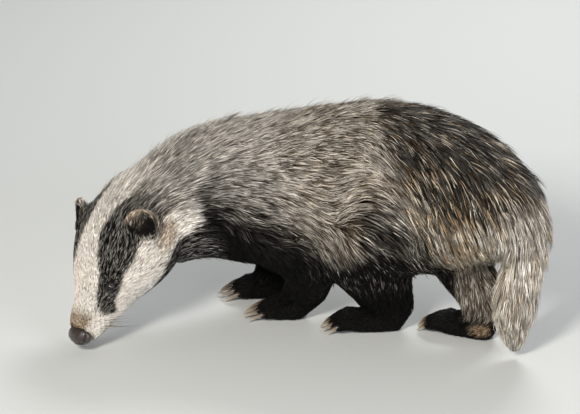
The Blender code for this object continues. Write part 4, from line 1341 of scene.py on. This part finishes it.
# %% Nose
# The path of a nostril as in the solids, and of the slit that runs from it: back, side, up and radius in
# millimetres.
NOSTRIL = ((-12, 5.5, 0, 2.4), (-3, 6.5, 0.5, 2.4), (3, 9.5, 2, 2.0), (8, 10.0, 2, 1.4))
NOSTRIL_SLIT = ((-4, 9.3, 0.5, 1.1), (0.5, 13.6, 1.5, 1.0), (4.5, 15.3, 3.5, 0.7), (8, 15.6, 6.0, 0.4))
SLIT_DEPTH, GROOVE_DEPTH = 1.5, 0.9
NOSE_VOXEL = 0.6 * MM
# The coat round the pad covers its edge, so the pad is made a little wider about its middle and flatter.
NOSE_MIDDLE, NOSE_WIDER = MIDLINE / 4, 1.12
NOSE_REAR, NOSE_FLATTER = 9, 0.9


def from_rod(places, start, end, mirror):
    """Distance from the surface of a rod whose ends have a place and a radius, on one side of the nose."""
    a, b = (np.array((x, mirror * y, z)) for x, y, z, _ in (start, end))
    t = np.clip((places - a) @ (b - a) / ((b - a) @ (b - a)), 0, 1)
    return np.linalg.norm(places - a - t[:, None] * (b - a), axis=1) - (start[3] + t * (end[3] - start[3]))


shape = bmesh.new()
shape.from_mesh(bpy.data.objects["nose"].data)
bmesh.ops.remove_doubles(shape, verts=shape.verts, dist=1e-6)
nose = finish_piece("nose_pad", shape, nose_material)
remesh = nose.modifiers.new("remesh", "REMESH")
remesh.mode = "VOXEL"
remesh.voxel_size = NOSE_VOXEL
rounding = nose.modifiers.new("rounding", "SMOOTH")
rounding.iterations = 3
apply_modifiers(nose)
nose.data.shade_smooth()
nose_points = (read_points(nose.data) - np.array(NOSE_TIP)) @ HEAD_TURN / MM
from_nostril, from_slit = np.full((2, len(nose_points)), FAR_OFF)
for mirror in (-1, 1):
    for path in (NOSTRIL, NOSTRIL_SLIT):
        for start, end in zip(path, path[1:]):
            away = from_rod(nose_points, start, end, mirror)
            from_nostril = np.minimum(from_nostril, away)
            if path is NOSTRIL_SLIT:
                from_slit = np.minimum(from_slit, away)
    pressed = SLIT_DEPTH * (1 - ramp(from_slit, -0.2, 1.2)) * (mirror * nose_points[:, 1] > 0)
    nose_points[:, 1] -= mirror * pressed
# Inside the nostrils and slits the nose is painted near black: painted shade in the hollows.
nostril_layer = nose.data.attributes.new("nostril_painted_shade", "FLOAT", "POINT")
nostril_layer.data.foreach_set("value", (1 - ramp(from_nostril, 0.1, 0.8)).astype(np.float32))
groove = (1 - ramp(np.abs(nose_points[:, 1]), 0.2, 1.3)) * (1 - ramp(nose_points[:, 2], 0, 4))
nose_points[:, 0] += GROOVE_DEPTH * groove * (nose_points[:, 0] < 5)
nose_points[:, 1] = NOSE_MIDDLE + (nose_points[:, 1] - NOSE_MIDDLE) * NOSE_WIDER
nose_points[:, 0] = NOSE_REAR + (nose_points[:, 0] - NOSE_REAR) * NOSE_FLATTER
write_points(nose.data, nose_points * MM @ HEAD_TURN.T + np.array(NOSE_TIP))
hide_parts("nose")
print("nose of", len(nose.data.polygons), "faces")


# %% Claws
def swept(shape, centres, sizes, sides=8, flatten=1.0):
    """A closed rod: a disc is set on the first centre, then pushed to each next one and scaled."""
    start = bmesh.ops.create_circle(shape, cap_ends=True, segments=sides, radius=1.0)["verts"]
    ring = list(start)
    face = next(f for f in ring[0].link_faces if len(f.verts) == sides)
    for k, (centre, size) in enumerate(zip(centres, sizes)):
        ahead = (centres[min(k + 1, len(centres) - 1)] - centres[max(k - 1, 0)]).normalized()
        spin = ahead.to_track_quat("Z", "Y").to_matrix().to_4x4()
        stand = Matrix.Translation(centre) @ spin @ Matrix.Diagonal((size, size * flatten, size, 1))
        if k:
            grown = bmesh.ops.extrude_face_region(shape, geom=[face])["geom"]
            # The first disc stays as the closed start; every later one is left inside the rod.
            if k > 1:
                bmesh.ops.delete(shape, geom=[face], context="FACES_ONLY")
            ring = [g for g in grown if isinstance(g, bmesh.types.BMVert)]
            face = next(g for g in grown if isinstance(g, bmesh.types.BMFace))
            bmesh.ops.transform(shape, matrix=previous.inverted(), verts=ring)
        bmesh.ops.transform(shape, matrix=stand, verts=ring)
        previous = stand


HORN_LINES = 1.1  # millimetres between the growth lines of a claw
WAVE_TURN = 6.28  # a wave pattern repeats after a full turn
HORN_LOW, HORN_HIGH = 0.0015, 0.011  # metres over the floor between which the horn changes colour
HORN_BANDS = (("B9A78C", 0.0), ("3A2F27", 1.0))

# Horn gives the claws a smooth gloss: pale and worn near the ground, dark where they leave the toes.
claw_material, tree, shader = new_material("claw_horn", 0.36, Specular_IOR_Level=0.45)
place = add_node(tree, "ShaderNodeTexCoord").outputs["Object"]
lines = add_node(tree, "ShaderNodeTexWave",
                 {"Vector": place, "Scale": 1 / (HORN_LINES * WAVE_TURN * MM), "Distortion": 3.0})
height_over = add_node(tree, "ShaderNodeSeparateXYZ", {"Vector": place})
up_claw = add_node(tree, "ShaderNodeMapRange",
                   {"Value": height_over.outputs["Z"], "From Min": HORN_LOW, "From Max": HORN_HIGH})
tree.links.new(colour_bands(tree, HORN_BANDS, up_claw.outputs[0]), shader.inputs["Base Color"])
add_bump(tree, shader, lines.outputs["Color"], 0.25, 0.1)

for name, paths in ALL_CLAWS.items():
    shape = bmesh.new()
    for centres, sizes in paths:
        swept(shape, centres, sizes, flatten=0.8)
    finish_piece("claws_" + name, shape, claw_material)

# %% [markdown]
# The edge of the lips is found on the finished skin: lines from the middle of the head meet it at measured
# heights, first round the front of the mouth and then back along the jaw. A smooth curve joins the places.

# %% Lips
head_tree = BVHTree.FromPolygons([Vector(p) for p in points], [tuple(p.vertices) for p in skin.data.polygons])
# Angle round the front of the mouth in degrees, and height in millimetres.
MOUTH_FRONT = ((0, -12), (35, -12), (70, -13))
MOUTH_CENTRE = 22
# Distance behind the nose tip and height, along the side of the jaw.
MOUTH_SIDE = ((24, -14.5), (33, -17), (42, -19.5), (51, -20.5), (58, -18.5))
LIP_RADIUS = 1.1 * MM
CURVE_STEPS = 4
OUTSIDE = 0.09  # metres, well outside the head


def on_face(back_by, up_by, toward):
    """The place on the skin that a line from the middle of the head meets."""
    start = HEAD @ (Vector((back_by, 0, up_by)) * MM)
    toward = turn @ Vector(toward)
    place, normal, _, _ = head_tree.ray_cast(start + toward * OUTSIDE, -toward)
    return place, normal


def smooth_path(centres):
    """More places between the centres, on a curve through them."""
    fine = []
    for k in range(len(centres) - 1):
        before, after = centres[max(k - 1, 0)], centres[min(k + 2, len(centres) - 1)]
        a, b = centres[k], centres[k + 1]
        for step in range(CURVE_STEPS):
            t = step / CURVE_STEPS
            bend = (b - before) / 2 * (t**3 - 2 * t * t + t) + (after - a) / 2 * (t**3 - t * t)
            fine.append(a * (2 * t**3 - 3 * t * t + 1) + b * (3 * t * t - 2 * t**3) + bend)
    return fine + [centres[-1]]


front = [(math.radians(degrees), up_by) for degrees, up_by in MOUTH_FRONT]
half_mouth = [(MOUTH_CENTRE, up_by, (-math.cos(a), math.sin(a), 0)) for a, up_by in front]
half_mouth += [(back_by, up_by, (0, 1, 0)) for back_by, up_by in MOUTH_SIDE]
mirrored = [(back_by, up_by, (x, -y, z)) for back_by, up_by, (x, y, z) in reversed(half_mouth[1:])]
mouth = [on_face(*row) for row in mirrored + half_mouth]
fine = smooth_path([place - normal * 0.2 * MM for place, normal in mouth])
from_end = [min(k, len(fine) - 1 - k) for k in range(len(fine))]
shape = bmesh.new()
swept(shape, fine, [LIP_RADIUS * min(1.0, 0.25 + 0.25 * k) for k in from_end])
# Bare lip skin gives a thin dark line with a moist sheen along the mouth.
lip_material, _, shader = new_material("bare_lip_skin", 0.4, Specular_IOR_Level=0.45)
shader.inputs["Base Color"].default_value = colour("1B1412")
finish_piece("lips", shape, lip_material)

# %% Whiskers
# Distance behind the nose tip and height of the pores, in millimetres.
WHISKER_ROWS = ((20, -6), (24, -10), (28, -6), (31, -12), (35, -8), (27, -14))
WHISKERS_PER_PORE = 2
WHISKER_RADIUS = 0.22 * MM
WHISKER_STEPS = (0, 0.25, 0.5, 0.75, 1)
whisker_rng = np.random.default_rng(SEED + 1)
outward_back = turn @ Vector((0.55, 0, -0.25))
droop = turn @ Vector((0.5, 0, -0.3))

shape = bmesh.new()
for whisker_side in (-1, 1):
    for back_by, up_by in WHISKER_ROWS:
        for _ in range(WHISKERS_PER_PORE):
            back_at = back_by + whisker_rng.normal(0, 1.2)
            up_at = up_by + whisker_rng.normal(0, 1.0)
            place, normal = on_face(back_at, up_at, (0, whisker_side, 0))
            if place is None:
                continue
            ahead = (normal * 0.8 + outward_back).normalized()
            reach = whisker_rng.uniform(18, 34) * MM
            centres = [place + ahead * reach * t + droop * reach * 0.35 * t * t for t in WHISKER_STEPS]
            swept(shape, centres, [WHISKER_RADIUS * (1 - 0.85 * t) for t in WHISKER_STEPS], sides=5)
# Whiskers are stiff and smooth, so they catch the light as fine lines beside the muzzle.
whisker_material, _, shader = new_material("stiff_whisker_hair", 0.35)
shader.inputs["Base Color"].default_value = colour("5A5048")
finish_piece("whiskers", shape, whisker_material)

# %% [markdown]
# ## The skin as underfur
# The skin carries the same two attributes as the coat: the shares of the kinds of hair, and the place along
# a hair with the tan. It stands in for all the flesh nodes.

# %% Dress the skin
kinds = np.stack((white, black, cream, rump), axis=1)
middle_of_hair = np.tile((0.4, 0.5, 0.5), (COUNT, 1))
strands = np.column_stack((middle_of_hair, tan))
for label, values in (("kind", kinds), ("strand", strands)):
    layer = skin.data.attributes.new(label, "FLOAT_COLOR", "POINT")
    layer.data.foreach_set("color", values.astype(np.float32).ravel())
skin.data.materials.append(skin_material)
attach(skin, "root")
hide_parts(*FLESH)
print("the skin stands for", len(FLESH), "nodes")
